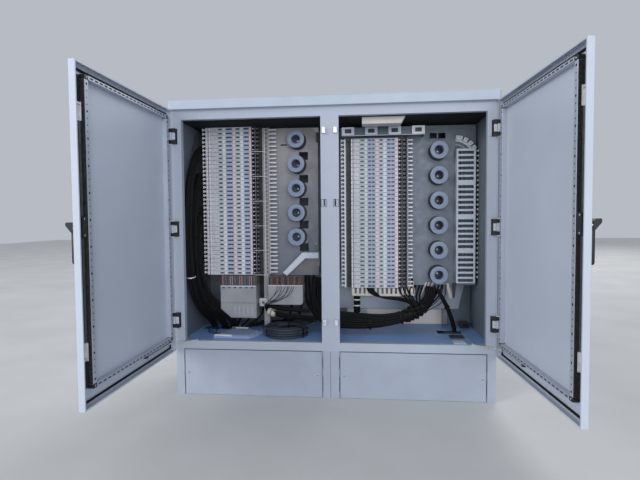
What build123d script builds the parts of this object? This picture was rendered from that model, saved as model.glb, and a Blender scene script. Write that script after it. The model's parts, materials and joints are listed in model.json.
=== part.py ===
from build123d import *
import math
import os

# Roadside telephone cross-connection cabinet with two doors, on a plinth.
# Millimetres, +Z up. The origin is the centre of the plinth's underside, the front looks to -Y.

# Body and plinth
body_width = 1600.0
body_depth = 500.0
plinth_height = 238.0
body_height = 1214.0
roof_height = 50.0
roof_overhang = 14.0
roof_wall = 3.0
roof_corner_radius = 18.0
roof_edge_radius = 12.0
roof_flange = 60.0
wall_sheet = 2.0
wall_return = 18.0
liner_gap = 25.0
liner_sheet = 1.5

# Front frame
frame_depth = 30.0
frame_sheet = 2.5
jamb_face = 47.0
top_rail_face = 47.0
sill_face = 42.0
mullion_face = 89.0
latch_slot_width = 9.0
latch_slot_height = 34.0
latch_slot_offset = 27.0
latch_slot_z = 980.0

# Plinth modules
post_size = 40.0
plinth_rail_height = 34.0
plinth_rail_depth = 30.0
end_sheet = 4.0
cover_sheet = 4.0
cover_clearance = 3.0
cover_tab = 36.0
cover_tab_height = 40.0
cover_tab_z = 128.0
anchor_hole_radius = 7.0
anchor_inset = 20.0

# Floor and ceiling
floor_sheet = 3.0
ceiling_sheet = 3.0
entry_depth = 90.0
left_entry = (-640.0, 60.0)
left_entry_width = 220.0
right_entry = (620.0, 30.0)
right_entry_width = 130.0

# Doors
door_gap = 3.75
door_thickness = 25.0
door_sheet = 1.5
door_hem = 6.0
door_edge_radius = 2.5
door_meeting_gap = 8.0
door_top_gap = 1.0
door_bottom_lap = 6.0
left_open_angle = 90.2
right_open_angle = 94.2

# Hinges
hinge_out = 3.75
hinge_forward = 12.7
hinge_top_inset = 129.0
hinge_bottom_inset = 155.0
knuckle_radius = 7.5
knuckle_length = 38.0
hinge_length = 77.0
hinge_play = 1.0
hinge_plate = 3.0
hinge_plate_width = 34.0
hinge_spine_width = 11.0
hinge_spine_height = 10.0
hinge_pin_radius = 4.0
pin_clearance = 0.1
hinge_leaf_reach = 20.0
hinge_leaf_height = 9.0
notch_clearance = 2.5

# Seal and tube frame inside the door
seal_thickness = 5.0
seal_hinge_side = (22.0, 34.0)
seal_free_side = (6.0, 20.0)
seal_top = (10.0, 26.0)
seal_bottom = (3.0, 21.0)
tube_width = 22.0
tube_depth = 22.5
tube_sheet = 1.5
tube_hinge_side = 36.0
tube_free_side = 56.0
tube_top = 31.0
tube_bottom = 56.0
tube_hole_radius = 5.0
tube_hole_pitch = 96.0
tube_slot_length = 22.0
tube_slot_height = 5.0
tube_slot_pitch = 64.0
corner_size = 30.0
corner_chamfer = 8.0

# Lock and swing handle
lock_axis_inset = 36.0
lock_axis_z = 876.0
lock_case_width = 30.0
lock_case_height = 74.0
lock_case_depth = 20.5
lock_case_above = 40.0
lock_disc_radius = 12.0
lock_disc_thickness = 8.0
lock_disc_start = 8.0
spindle_radius = 6.0
rod_width = 14.0
rod_thickness = 3.5
rod_start = 10.0
rod_stroke = 18.0
rod_clearance = 1.0
upper_rod_end = 1315.0
lower_rod_end = 402.0
roller_bracket_width = 28.0
roller_bracket_length = 65.0
roller_bracket_sheet = 2.5
roller_bracket_depth = 9.0
roller_radius = 6.0
striker_z = (1333.0, 385.0)
striker_x = 28.5
striker_width = 15.0
striker_height = 28.0
striker_depth = 17.0
striker_sheet = 3.0
handle_base_width = 34.0
handle_base_thickness = 4.0
handle_base_below = 194.0
handle_base_above = 28.0
handle_base_radius = 8.0
hub_radius = 13.0
hub_tongue_width = 10.0
hub_tongue_radius = 5.0
lever_pin_radius = 2.5
lever_pin_height = 7.5
lever_length = 186.0
lever_width = 28.0
lever_thickness = 9.0
lever_head_top = 9.0
lever_head_bottom = 34.0
lever_head_height = 11.0
lever_nose = 33.0
lever_clearance = 1.0

# Door stays
stay_pivot_x = 693.0
stay_pivot_y = 13.0
stay_length = 143.0
stay_width = 12.0
stay_thickness = 3.0
stay_pin_radius = 3.0
stay_lift = 1.5
stay_bracket_size = 26.0
stay_rail_start = 50.0
stay_rail_end = 310.0
stay_rail_height = 18.0
stay_slot_width = 7.0
stay_slot_margin = 8.0

# Terminal columns and their mounting plates
plate_sheet = 2.0
plate_front_y = 50.0
left_plate_x = (-728.0, -90.0)
left_plate_z = (585.0, 1405.0)
right_plate_x = (35.0, 765.0)
right_plate_z = (533.0, 1398.0)
plate_hole = (50.0, 44.0)
plate_hole_first = (-170.0, 1249.6)
plate_hole_pitch = 127.0
plate_top_hole = (38.0, 30.0)
module_count = 36
module_pitch = 22.5
module_width = 252.0
module_depth = 44.0
module_gap = 1.5
module_cap_depth = 6.0
module_cap_width = 34.0
module_cap_offsets = (-14.0, 78.0)
left_column_x = -571.0
left_column_top = 1404.0
left_column_front_y = -36.0
right_column_x = 222.0
right_column_top = 1331.0
right_column_front_y = -4.0
ladder_width = 48.0
ladder_rung = 4.0
ladder_post = 6.0
ladder_setback = 8.0
ladder_depth = 24.0
rail_width = 34.0
rail_depth = 30.0
comb_width = 40.0
comb_spine = 8.0
comb_tooth = 9.0
comb_depth = 16.0
ear_reach = 26.0
ear_thickness = 6.0
right_ear_gap = 30.0
lip_height = 46.0
lip_width = 340.0
lip_hanger_height = 34.0
lip_wall = 3.0
lip_tooth_pitch = 24.0

# Guide spools
spool_radius = 47.5
spool_bore = 23.5
spool_core = 38.0
spool_flange = 9.0
spool_length = 82.0
spool_pitch = 132.5
left_spool_x = -202.0
left_spool_top = 1332.0
left_spool_count = 5
right_spool_x = 561.0
right_spool_top = 1258.0
right_spool_count = 6

# Slotted cable panel with its fan-shaped head
duct_x = (652.0, 756.0)
duct_z = (549.0, 1265.0)
duct_front_y = 4.0
duct_wall = 3.0
duct_slot = (84.0, 16.0)
duct_slot_pitch = 27.5
duct_group_pitch = 181.0
duct_groups = 4
duct_group_slots = 6
duct_first_slot = 20.0
fan_centre_drop = 50.0
fan_radius = 115.0
fan_plate_radius = 106.0
fan_block = (36.0, 22.0)
fan_block_depth = 34.0
fan_angles = (78.0, 60.0, 45.0, 31.0)
fan_thickness = 8.0

# Square guide rings above the right column
ring_size = (70.0, 46.0)
ring_window = (36.0, 23.0)
ring_thickness = 8.0
ring_count = 4
ring_pitch = 122.0
ring_first_x = 83.0
ring_z = 1359.0
ring_front_y = -60.0
ring_bar_height = 22.0
ring_bar_thickness = 6.0
ring_arm_width = 6.0

# Box under the ceiling
ceiling_box_x = (158.0, 372.0)
ceiling_box_y = (-190.0, -110.0)
ceiling_box_height = 44.0
ceiling_box_slant = 16.0

# Wire tray between the bays
tray_points = ((-283.0, 606.0), (-172.0, 718.0), (-84.0, 718.0))
tray_y = (-10.0, 50.0)
tray_band = 26.0
tray_sheet = 2.0
tray_web_height = 78.0
tray_web_cut = 50.0

# Splice boxes under the left column
splice_front_y = -50.0
splice_one_x = (-627.0, -425.0)
splice_one_z = (357.0, 590.0)
splice_chamfer = (60.0, 50.0)
splice_two_x = (-360.0, -168.0)
splice_two_z = (433.0, 584.0)
splice_round = 14.0
splice_lid_step = 10.0

# Loose cover and cable coil on the floor
loose_cover_size = (228.0, 176.0, 22.0)
loose_cover_place = (-500.0, -112.0)
loose_cover_turn = 6.0
loose_cover_wall = 3.0
coil_centre = (-252.0, -90.0)
coil_radius = 122.0
coil_eye = 52.0
coil_height = 56.0

# Cable bundles
left_trunk_diameter = 38.0
left_trunk_starts = (1290.0, 1150.0, 960.0)
left_trunk_depths = (-182.0, -122.0, -62.0)
left_trunk_x = -751.0
left_trunk_bends = ((-716.0, -80.0, 400.0), (-680.0, -40.0, 390.0), (-640.0, 5.0, 385.0))
left_trunk_feet = (-690.0, -632.0, -577.0)
branch_diameter = 26.0
riser_diameter = 26.0
trunk_diameter = 64.0

# Derived places
half_width = body_width / 2
front_y = -body_depth / 2
rear_y = body_depth / 2
wall_top = plinth_height + body_height
sill_top = plinth_height + sill_face
opening_top = wall_top - top_rail_face
frame_back_y = front_y + frame_depth
liner_x = half_width - wall_sheet - liner_gap
liner_y = rear_y - wall_sheet - liner_gap
door_width = half_width - door_meeting_gap / 2
door_top = wall_top - door_top_gap
door_bottom = plinth_height - door_bottom_lap
skin_y = front_y - door_gap - door_thickness
hinge_x = half_width + hinge_out
hinge_y = front_y - hinge_forward
hinge_top_z = door_top - hinge_top_inset
hinge_bottom_z = door_bottom + hinge_bottom_inset
hinge_heights = (hinge_bottom_z, (hinge_bottom_z + hinge_top_z) / 2, hinge_top_z)
lock_axis_x = half_width - door_width + lock_axis_inset
module_width_half = module_width / 2


def block(x0, x1, y0, y1, z0, z1):
    """A box between two corners."""
    middle = ((x0 + x1) / 2, (y0 + y1) / 2, (z0 + z1) / 2)
    return Pos(*middle) * Box(abs(x1 - x0), abs(y1 - y0), abs(z1 - z0))


def rod_x(x0, x1, y, z, radius):
    """A round bar along X."""
    return Pos((x0 + x1) / 2, y, z) * Rot(0, 90, 0) * Cylinder(radius, abs(x1 - x0))


def rod_y(x, y0, y1, z, radius):
    """A round bar along Y."""
    return Pos(x, (y0 + y1) / 2, z) * Rot(90, 0, 0) * Cylinder(radius, abs(y1 - y0))


def rod_z(x, y, z0, z1, radius):
    """A round bar along Z."""
    return Pos(x, y, (z0 + z1) / 2) * Cylinder(radius, abs(z1 - z0))


def mirrored(shape):
    """The same piece on the other side of the cabinet."""
    return mirror(shape, about=Plane.YZ)


def both_sides(shape):
    """A piece and its mirror image as one list."""
    return [shape, mirrored(shape)]


def channel(x0, x1, z0, z1):
    """A folded frame member: a front face with its edges turned back, open at the rear."""
    outer = block(x0, x1, front_y, frame_back_y, z0, z1)
    tall = (z1 - z0) > (x1 - x0)
    side_x = frame_sheet if tall else 0
    side_z = 0 if tall else frame_sheet
    inner = block(x0 + side_x, x1 - side_x, front_y + frame_sheet, frame_back_y, z0 + side_z, z1 - side_z)
    return outer - inner


def cable(points, diameter):
    """A cable through hand-set points, with an arc as large as its two runs allow at each."""
    corners = [Vector(*point) for point in points]
    radii = []
    for before, here, after in zip(corners, corners[1:], corners[2:]):
        turn = math.radians((here - before).get_angle(after - here))
        shorter = min((here - before).length, (after - here).length)
        radii.append(0.45 * shorter / math.tan(turn / 2))
    path = FilletPolyline(*points, radius=radii)
    section = Plane(origin=path @ 0, z_dir=path % 0) * Circle(diameter / 2)
    print("cable radii", [round(radius) for radius in radii], "length", round(path.length))
    return sweep(section, path=path)


# Plinth


def plinth_module():
    """The right plinth frame: posts, rails, tabs for the covers and a closed outer end."""
    width = half_width
    posts = Part()
    for x in (0, width - post_size):
        for y in (front_y, rear_y - post_size):
            posts += block(x, x + post_size, y, y + post_size, 0, plinth_height)
    rails = Part()
    for z in (0, plinth_height - plinth_rail_height):
        top = z + plinth_rail_height
        for y in (front_y + cover_sheet, rear_y - cover_sheet - plinth_rail_depth):
            rails += block(post_size, width - post_size, y, y + plinth_rail_depth, z, top)
        for x in (0, width - plinth_rail_depth):
            rails += block(x, x + plinth_rail_depth, front_y + post_size, rear_y - post_size, z, top)
    tabs = Part()
    low = cover_tab_z - cover_tab_height / 2
    high = cover_tab_z + cover_tab_height / 2
    for x in (post_size, width - post_size - cover_tab):
        for y in (front_y + cover_sheet, rear_y - 2 * cover_sheet):
            tabs += block(x, x + cover_tab, y, y + cover_sheet, low, high)
    end = block(width - end_sheet, width, front_y + post_size, rear_y - post_size, 0, plinth_height)
    module = posts + rails + tabs + end
    for y in (front_y + anchor_inset, rear_y - anchor_inset):
        module -= rod_z(width - anchor_inset, y, 0, plinth_height, anchor_hole_radius)
    return module


def plinth_cover(y):
    """One front or rear cover, in its module's own frame."""
    x0 = post_size + cover_clearance
    x1 = half_width - post_size - cover_clearance
    return block(x0, x1, y, y + cover_sheet, cover_clearance, plinth_height - cover_clearance)


# Walls, liner, floor, ceiling and roof


def side_wall():
    """The right outer side wall, with its rear edge turned in."""
    sheet = block(half_width - wall_sheet, half_width, frame_back_y, rear_y - wall_sheet, plinth_height, wall_top)
    turned = block(half_width - wall_return, half_width, rear_y - 2 * wall_sheet, rear_y - wall_sheet,
                   plinth_height, wall_top)
    return sheet + turned


def rear_wall():
    """The outer rear wall."""
    return block(-half_width, half_width, rear_y - wall_sheet, rear_y, plinth_height, wall_top)


def inner_liner():
    """One folded sheet that lines the left side, the rear and the right side."""
    outer = block(-liner_x, liner_x, frame_back_y, liner_y, sill_top, opening_top)
    inner = block(-liner_x + liner_sheet, liner_x - liner_sheet, frame_back_y, liner_y - liner_sheet,
                  sill_top, opening_top)
    return outer - inner


def floor_plate():
    """The floor, a tray with its edges turned down to the plinth, with two cable entries."""
    tray = block(-liner_x, liner_x, frame_back_y, liner_y, plinth_height, sill_top)
    tray -= block(-liner_x + floor_sheet, liner_x - floor_sheet, frame_back_y + floor_sheet,
                  liner_y - floor_sheet, plinth_height, sill_top - floor_sheet)
    for (x, y), width in ((left_entry, left_entry_width), (right_entry, right_entry_width)):
        tray -= block(x - width / 2, x + width / 2, y - entry_depth / 2, y + entry_depth / 2, plinth_height, sill_top)
    return tray


def ceiling_panel():
    """The dark panel under the roof."""
    return block(-liner_x, liner_x, frame_back_y, liner_y, opening_top, opening_top + ceiling_sheet)


def roof_cap():
    """The moulded roof: a shell with rounded edges and a flange that rests on the walls."""
    x = half_width + roof_overhang
    back = rear_y + roof_overhang
    top = wall_top + roof_height
    cap = block(-x, x, skin_y, back, wall_top, top)
    cap = fillet(cap.edges().filter_by(Axis.Z), roof_corner_radius)
    cap = fillet(cap.faces().sort_by(Axis.Z)[-1].edges(), roof_edge_radius)
    cap -= block(-x + roof_wall * 3, x - roof_wall * 3, skin_y + roof_wall * 3, back - roof_wall * 3,
                 wall_top + roof_wall, top - roof_wall * 2)
    mouth = half_width - roof_flange
    cap -= block(-mouth, mouth, front_y + roof_flange, rear_y - roof_flange, wall_top, wall_top + roof_wall)
    return cap


# Front frame


def jamb():
    """The right front post."""
    return channel(half_width - jamb_face, half_width, plinth_height, wall_top)


def top_rail():
    """The front member over both openings."""
    reach = half_width - jamb_face
    return channel(-reach, reach, opening_top, wall_top)


def sill():
    """The front member under both openings."""
    reach = half_width - jamb_face
    return channel(-reach, reach, plinth_height, sill_top)


def mullion():
    """The post between the two openings, with its latch slots."""
    post = channel(-mullion_face / 2, mullion_face / 2, sill_top, opening_top)
    for side in (-1, 1):
        x = side * latch_slot_offset
        post -= block(x - latch_slot_width / 2, x + latch_slot_width / 2, front_y, front_y + frame_sheet,
                      latch_slot_z - latch_slot_height / 2, latch_slot_z + latch_slot_height / 2)
    return post


def strikers():
    """Four folded keepers on the mullion that the rollers draw against."""
    pieces = []
    for side in (-1, 1):
        for z in striker_z:
            x = side * striker_x
            low = z - striker_height / 2
            high = z + striker_height / 2
            outer = block(x - striker_width / 2, x + striker_width / 2, front_y - striker_depth, front_y, low, high)
            window = block(x - striker_width / 2, x + striker_width / 2, front_y - striker_depth + striker_sheet,
                           front_y - striker_sheet, low + striker_sheet, high - striker_sheet)
            pieces.append(outer - window)
    return pieces


# Hinges


def frame_hinge(z):
    """A hinge block on the right jamb: a foot, a spine and an eye at each end."""
    low = z - hinge_length / 2
    high = z + hinge_length / 2
    inner_x = half_width - 4 - hinge_plate_width
    foot = block(inner_x, half_width - 4, front_y - hinge_plate, front_y, low, high)
    spine_x = half_width - 13
    spine = block(spine_x - hinge_spine_width, spine_x, front_y - hinge_spine_height, front_y, low, high)
    body = foot + spine
    gap = knuckle_length / 2 + hinge_play
    for end in ((low, z - gap), (z + gap, high)):
        body += block(spine_x - hinge_spine_width, hinge_x + knuckle_radius, hinge_y - knuckle_radius,
                      hinge_y + knuckle_radius, end[0], end[1])
        body += block(spine_x - hinge_spine_width, spine_x, hinge_y, front_y, end[0], end[1])
    return body - rod_z(hinge_x, hinge_y, low, high, hinge_pin_radius)


def hinge_pin(z):
    """The pin of one hinge, pressed into the frame's eyes."""
    return rod_z(hinge_x, hinge_y, z - hinge_length / 2, z + hinge_length / 2, hinge_pin_radius)


def door_knuckle(z):
    """The door's half of a hinge: a barrel and the leaf that is welded inside the skin."""
    low = z - knuckle_length / 2
    high = z + knuckle_length / 2
    barrel = rod_z(hinge_x, hinge_y, low, high, knuckle_radius)
    leaf = block(half_width - hinge_leaf_reach, hinge_x, skin_y + door_sheet,
                 skin_y + door_sheet + hinge_leaf_height, low, high)
    return barrel + leaf - rod_z(hinge_x, hinge_y, low, high, hinge_pin_radius + pin_clearance)


# Door pieces, modelled closed on the right side


def door_x(inset):
    """X of a point this far in from the door's hinge edge."""
    return half_width - inset


def free_x(inset):
    """X of a point this far in from the door's free edge."""
    return half_width - door_width + inset


def door_y(depth):
    """Y of a point this deep behind the door's outer face."""
    return skin_y + depth


def door_skin():
    """The folded pan of the door, with notches for the hinges and the slotted rail of the stay."""
    shell = block(door_x(door_width), door_x(0), door_y(0), door_y(door_thickness), door_bottom, door_top)
    shell = fillet(shell.faces().sort_by(Axis.Y)[0].edges(), door_edge_radius)
    cavity = block(free_x(door_sheet), door_x(door_sheet), door_y(door_sheet), door_y(door_thickness - door_sheet),
                   door_bottom + door_sheet, door_top - door_sheet)
    mouth = block(free_x(door_hem), door_x(door_hem), door_y(door_sheet), door_y(door_thickness),
                  door_bottom + door_hem, door_top - door_hem)
    shell -= cavity
    shell -= mouth
    for z in hinge_heights:
        reach = hinge_length / 2 + notch_clearance
        shell -= block(door_x(door_hem + 1), door_x(-1), door_y(door_sheet), door_y(door_thickness + 1),
                       z - reach, z + reach)
    shell -= rod_y(lock_axis_x, door_y(-1), door_y(door_sheet + 1), lock_axis_z, spindle_radius + 2)
    return shell + stay_rail()


def stay_rail_top():
    """Height of the stay rail's shelf, level with the sill."""
    return sill_top


def stay_rail():
    """The slotted angle along the foot of the door that the stay runs on."""
    top = stay_rail_top()
    x0 = door_x(stay_rail_end)
    x1 = door_x(stay_rail_start)
    flange = block(x0, x1, door_y(door_sheet), door_y(2 * door_sheet), top - stay_rail_height, top)
    shelf = block(x0, x1, door_y(door_sheet), door_y(door_thickness - door_sheet), top - door_sheet, top)
    slot = block(x0 + stay_slot_margin, x1 - stay_slot_margin, hinge_y - stay_slot_width / 2,
                 hinge_y + stay_slot_width / 2, top - door_sheet, top)
    return flange + shelf - slot


def door_seal():
    """The foam seal around the edge of the door."""
    depth0 = door_y(door_sheet)
    depth1 = door_y(door_sheet + seal_thickness)
    outer = block(free_x(seal_free_side[0]), door_x(seal_hinge_side[0]), depth0, depth1,
                  door_bottom + seal_bottom[0], door_top - seal_top[0])
    inner = block(free_x(seal_free_side[1]), door_x(seal_hinge_side[1]), depth0, depth1,
                  door_bottom + seal_bottom[1], door_top - seal_top[1])
    return outer - inner


def tube_limits():
    """Outer edges of the tube frame: X low, X high, Z low, Z high."""
    return (free_x(tube_free_side), door_x(tube_hinge_side), door_bottom + tube_bottom, door_top - tube_top)


def tube_bar(x0, x1, z0, z1, tall):
    """One perforated channel of the tube frame, open towards the skin."""
    depth0 = door_y(door_sheet)
    depth1 = door_y(door_sheet + tube_depth)
    side_x = tube_sheet if tall else 0
    side_z = 0 if tall else tube_sheet
    bar = block(x0, x1, depth0, depth1, z0, z1)
    return bar - block(x0 + side_x, x1 - side_x, depth0, depth1 - tube_sheet, z0 + side_z, z1 - side_z)


def tube_frame():
    """Two uprights and two cross bars with their rows of holes."""
    x0, x1, z0, z1 = tube_limits()
    face0 = door_y(door_sheet + tube_depth - tube_sheet)
    face1 = door_y(door_sheet + tube_depth)
    bars = []
    for left in (x0, x1 - tube_width):
        bar = tube_bar(left, left + tube_width, z0 + corner_size, z1 - corner_size, True)
        count = int((z1 - z0 - 2 * corner_size) // tube_hole_pitch)
        first = (z0 + z1 - (count - 1) * tube_hole_pitch) / 2
        for index in range(count):
            bar -= rod_y(left + tube_width / 2, face0, face1, first + index * tube_hole_pitch, tube_hole_radius)
        bars.append(bar)
    for low in (z0, z1 - tube_width):
        bar = tube_bar(x0 + corner_size, x1 - corner_size, low, low + tube_width, False)
        count = int((x1 - x0 - 2 * corner_size) // tube_slot_pitch)
        first = (x0 + x1 - (count - 1) * tube_slot_pitch) / 2
        for index in range(count):
            x = first + index * tube_slot_pitch
            middle = low + tube_width / 2
            bar -= block(x - tube_slot_length / 2, x + tube_slot_length / 2, face0, face1,
                         middle - tube_slot_height / 2, middle + tube_slot_height / 2)
        bars.append(bar)
    return bars


def corner_pieces():
    """The four plastic corners that join the tube frame."""
    x0, x1, z0, z1 = tube_limits()
    depth0 = door_y(door_sheet)
    depth1 = door_y(door_sheet + tube_depth)
    pieces = []
    for left, outer_x in ((x0, 0), (x1 - corner_size, 1)):
        for low, outer_z in ((z0, 0), (z1 - corner_size, 1)):
            piece = block(left, left + corner_size, depth0, depth1, low, low + corner_size)
            edges = piece.edges().filter_by(Axis.Y).group_by(Axis.X)[-outer_x].sort_by(Axis.Z)
            pieces.append(chamfer(edges[-outer_z], corner_chamfer))
    return pieces


def lock_case():
    """The lock's housing, slotted for the rods and bored for the turning disc."""
    x0 = lock_axis_x - lock_case_width / 2
    x1 = lock_axis_x + lock_case_width / 2
    z1 = lock_axis_z + lock_case_above
    case = block(x0, x1, door_y(door_sheet), door_y(door_sheet + lock_case_depth), z1 - lock_case_height, z1)
    case = chamfer(case.edges().filter_by(Axis.Y), 4)
    case -= block(lock_axis_x - rod_width / 2 - rod_clearance, lock_axis_x + rod_width / 2 + rod_clearance,
                  door_y(rod_start - rod_clearance), door_y(rod_start + rod_thickness + rod_clearance),
                  z1 - lock_case_height, z1)
    case -= rod_y(lock_axis_x, door_y(lock_disc_start - rod_clearance),
                  door_y(lock_disc_start + lock_disc_thickness + rod_clearance), lock_axis_z,
                  lock_disc_radius + rod_clearance)
    case -= rod_y(lock_axis_x, door_y(0), door_y(lock_disc_start), lock_axis_z, spindle_radius + rod_clearance)
    return case


def lock_rod(end_z, toward):
    """A flat lock rod with a folded bracket and roller at its end; toward is +1 up, -1 down."""
    start = lock_axis_z + toward * (lock_disc_radius + rod_stroke + 2 * rod_clearance)
    end = end_z - toward * roller_bracket_length / 2
    y0 = door_y(rod_start)
    y1 = door_y(rod_start + rod_thickness)
    bar = block(lock_axis_x - rod_width / 2, lock_axis_x + rod_width / 2, y0, y1, start, end)
    foot = end_z - toward * roller_bracket_length
    x0 = free_x(seal_free_side[0] + 6)
    x1 = x0 + roller_bracket_width
    web = block(x0, x1, y0, y0 + roller_bracket_sheet, foot, end_z)
    cheeks = Part()
    for x in (x0, x1 - roller_bracket_sheet):
        cheeks += block(x, x + roller_bracket_sheet, y0, y0 + roller_bracket_depth, foot, end_z)
    roller_y = y0 + roller_bracket_depth - roller_radius / 2
    roller = rod_x(x0, x1, roller_y, end_z - toward * (roller_radius + 2), roller_radius / 2)
    return bar + web + cheeks + roller


def handle_base():
    """The long plate behind the swing handle, bored for the spindle."""
    half = handle_base_width / 2
    plate = block(lock_axis_x - half, lock_axis_x + half, door_y(-handle_base_thickness), door_y(0),
                  lock_axis_z - handle_base_below, lock_axis_z + handle_base_above)
    plate = fillet(plate.edges().filter_by(Axis.Y), handle_base_radius)
    return plate - rod_y(lock_axis_x, door_y(-handle_base_thickness), door_y(0), lock_axis_z,
                         spindle_radius + pin_clearance)


def lever_pin_y():
    """Y of the pin that the lever lifts on."""
    return door_y(-handle_base_thickness - lever_pin_height)


def handle_hub():
    """The turning hub: a tongue outside, the spindle, and the disc inside the lock."""
    tongue = hub_tongue_width / 2
    base = door_y(-handle_base_thickness)
    hub = block(lock_axis_x - tongue, lock_axis_x + tongue, lever_pin_y(), base,
                lock_axis_z - hub_tongue_radius, lock_axis_z + hub_tongue_radius)
    hub += rod_x(lock_axis_x - tongue, lock_axis_x + tongue, lever_pin_y(), lock_axis_z, hub_tongue_radius)
    hub += rod_y(lock_axis_x, base, door_y(lock_disc_start), lock_axis_z, spindle_radius)
    hub += rod_y(lock_axis_x, door_y(lock_disc_start), door_y(lock_disc_start + lock_disc_thickness),
                 lock_axis_z, lock_disc_radius)
    return hub - rod_x(lock_axis_x - tongue, lock_axis_x + tongue, lever_pin_y(), lock_axis_z,
                       lever_pin_radius + pin_clearance)


def handle_lever():
    """The swing lever: a bar, a wedge-shaped head forked around the hub's tongue, and the cross pin."""
    half = lever_width / 2
    back = door_y(-handle_base_thickness - lever_head_height)
    nose = door_y(-lever_nose)
    profile = Polyline(
        (back, lock_axis_z + lever_head_top),
        (nose + 3, lock_axis_z + lever_head_top),
        (nose, lock_axis_z + lever_head_top - 3),
        (nose, lock_axis_z + lever_head_top - 12),
        (back - 2, lock_axis_z - lever_head_bottom),
        (back, lock_axis_z - lever_head_bottom),
        close=True,
    )
    side = Plane(origin=(lock_axis_x - half, 0, 0), x_dir=(0, 1, 0), z_dir=(1, 0, 0))
    head = extrude(side * make_face(profile), amount=lever_width)
    bar = block(lock_axis_x - half, lock_axis_x + half, back - 1, back - 1 + lever_thickness,
                lock_axis_z - lever_length, lock_axis_z - hub_radius - lever_clearance)
    bar = fillet(bar.edges().filter_by(Axis.Y).group_by(Axis.Z)[0], 6)
    cheek = hub_tongue_radius
    cheeks = rod_x(lock_axis_x - half, lock_axis_x + half, lever_pin_y(), lock_axis_z, cheek)
    cheeks += block(lock_axis_x - half, lock_axis_x + half, back, lever_pin_y(), lock_axis_z - cheek,
                    lock_axis_z + cheek)
    reach = hub_tongue_width / 2 + lever_clearance
    lever = head + bar + cheeks
    lever -= rod_x(lock_axis_x - reach, lock_axis_x + reach, lever_pin_y(), lock_axis_z,
                   hub_tongue_radius + lever_clearance)
    return lever + rod_x(lock_axis_x - half, lock_axis_x + half, lever_pin_y(), lock_axis_z, lever_pin_radius)


# Door stay


def stay_pivot():
    """X and Y of the stay's pin on the right side of the sill."""
    return (stay_pivot_x, front_y + stay_pivot_y)


def stay_end_reach(opening):
    """How far along the door from the hinge axis the stay's far end lies at this opening."""
    angle = math.radians(opening)
    px, py = stay_pivot()
    dx = hinge_x - px
    dy = hinge_y - py
    along = -math.cos(angle) * dx - math.sin(angle) * dy
    rest = dx * dx + dy * dy - stay_length * stay_length
    return -along + math.sqrt(along * along - rest)


def stay_direction(opening):
    """Direction of the stay at this opening, in degrees from +X."""
    angle = math.radians(opening)
    reach = stay_end_reach(opening)
    px, py = stay_pivot()
    end_x = hinge_x - math.cos(angle) * reach
    end_y = hinge_y - math.sin(angle) * reach
    return math.degrees(math.atan2(end_y - py, end_x - px))


def stay_link(opening):
    """The flat link between sill and door, as it lies on the right side at this opening."""
    low = sill_top + stay_lift
    high = low + stay_thickness
    px, py = stay_pivot()
    link = block(0, stay_length, -stay_width / 2, stay_width / 2, low, high)
    link += rod_z(0, 0, low, high, stay_width / 2)
    link += rod_z(stay_length, 0, low, high, stay_width / 2)
    link -= rod_z(0, 0, low, high, stay_pin_radius + pin_clearance)
    return Pos(px, py, 0) * Rot(0, 0, stay_direction(opening)) * link


def stay_bracket():
    """The foot on the sill with the pin of the right stay."""
    px, py = stay_pivot()
    half = stay_bracket_size / 2
    foot = block(px - half, px + half, front_y + 1, front_y + stay_bracket_size - 1, sill_top, sill_top + 1)
    return foot + rod_z(px, py, sill_top, sill_top + stay_lift + stay_thickness + 3, stay_pin_radius)


# Inside


def mounting_plate(x_range, z_range):
    """A plate with its two upright edges folded back to the liner."""
    x0, x1 = x_range
    z0, z1 = z_range
    back = liner_y - liner_sheet
    plate = block(x0, x1, plate_front_y, plate_front_y + plate_sheet, z0, z1)
    plate += block(x0, x0 + plate_sheet, plate_front_y, back, z0, z1)
    plate += block(x1 - plate_sheet, x1, plate_front_y, back, z0, z1)
    return plate


def left_plate():
    """The left mounting plate with its cut-outs beside the spools and tongues for the boxes below."""
    plate = mounting_plate(left_plate_x, left_plate_z)
    width, height = plate_hole
    x = plate_hole_first[0]
    for index in range(left_spool_count):
        z = plate_hole_first[1] - index * plate_hole_pitch
        plate -= block(x - width / 2, x + width / 2, plate_front_y, plate_front_y + plate_sheet,
                       z - height / 2, z + height / 2)
    for x_range, z_range in ((splice_one_x, splice_one_z), (splice_two_x, splice_two_z)):
        plate += block(x_range[0] + 20, x_range[1] - 20, plate_front_y, plate_front_y + plate_sheet,
                       z_range[0] + 60, left_plate_z[0])
    return plate


def right_plate():
    """The right mounting plate with two square openings above the spools."""
    plate = mounting_plate(right_plate_x, right_plate_z)
    width, height = plate_top_hole
    for side in (-1, 1):
        x = right_spool_x + side * (width / 2 + 4)
        plate -= block(x - width / 2, x + width / 2, plate_front_y, plate_front_y + plate_sheet,
                       right_spool_top + 70, right_spool_top + 70 + height)
    return plate


def terminal_module(x, y, top):
    """One terminal module: a ribbed body with two rows of caps standing proud."""
    half = module_width_half
    height = module_pitch - module_gap
    profile = Polyline(
        (y + 4, top - height),
        (y, top - height + 5),
        (y, top - 5),
        (y + 4, top),
        (y + module_depth, top),
        (y + module_depth, top - height),
        close=True,
    )
    side = Plane(origin=(x - half, 0, 0), x_dir=(0, 1, 0), z_dir=(1, 0, 0))
    body = extrude(side * make_face(profile), amount=2 * half)
    for offset in module_cap_offsets:
        body += block(x + offset - module_cap_width / 2, x + offset + module_cap_width / 2,
                      y - module_cap_depth, y + 1, top - height + 6, top - 6)
    return body


def terminal_column(x, y, top):
    """A column of modules, one above the other on its mounting plate."""
    return [terminal_module(x, y + module_cap_depth, top - index * module_pitch) for index in range(module_count)]


def column_foot_y(y):
    """Y of the back of a column whose caps start at this Y."""
    return y + module_cap_depth + module_depth


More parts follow.
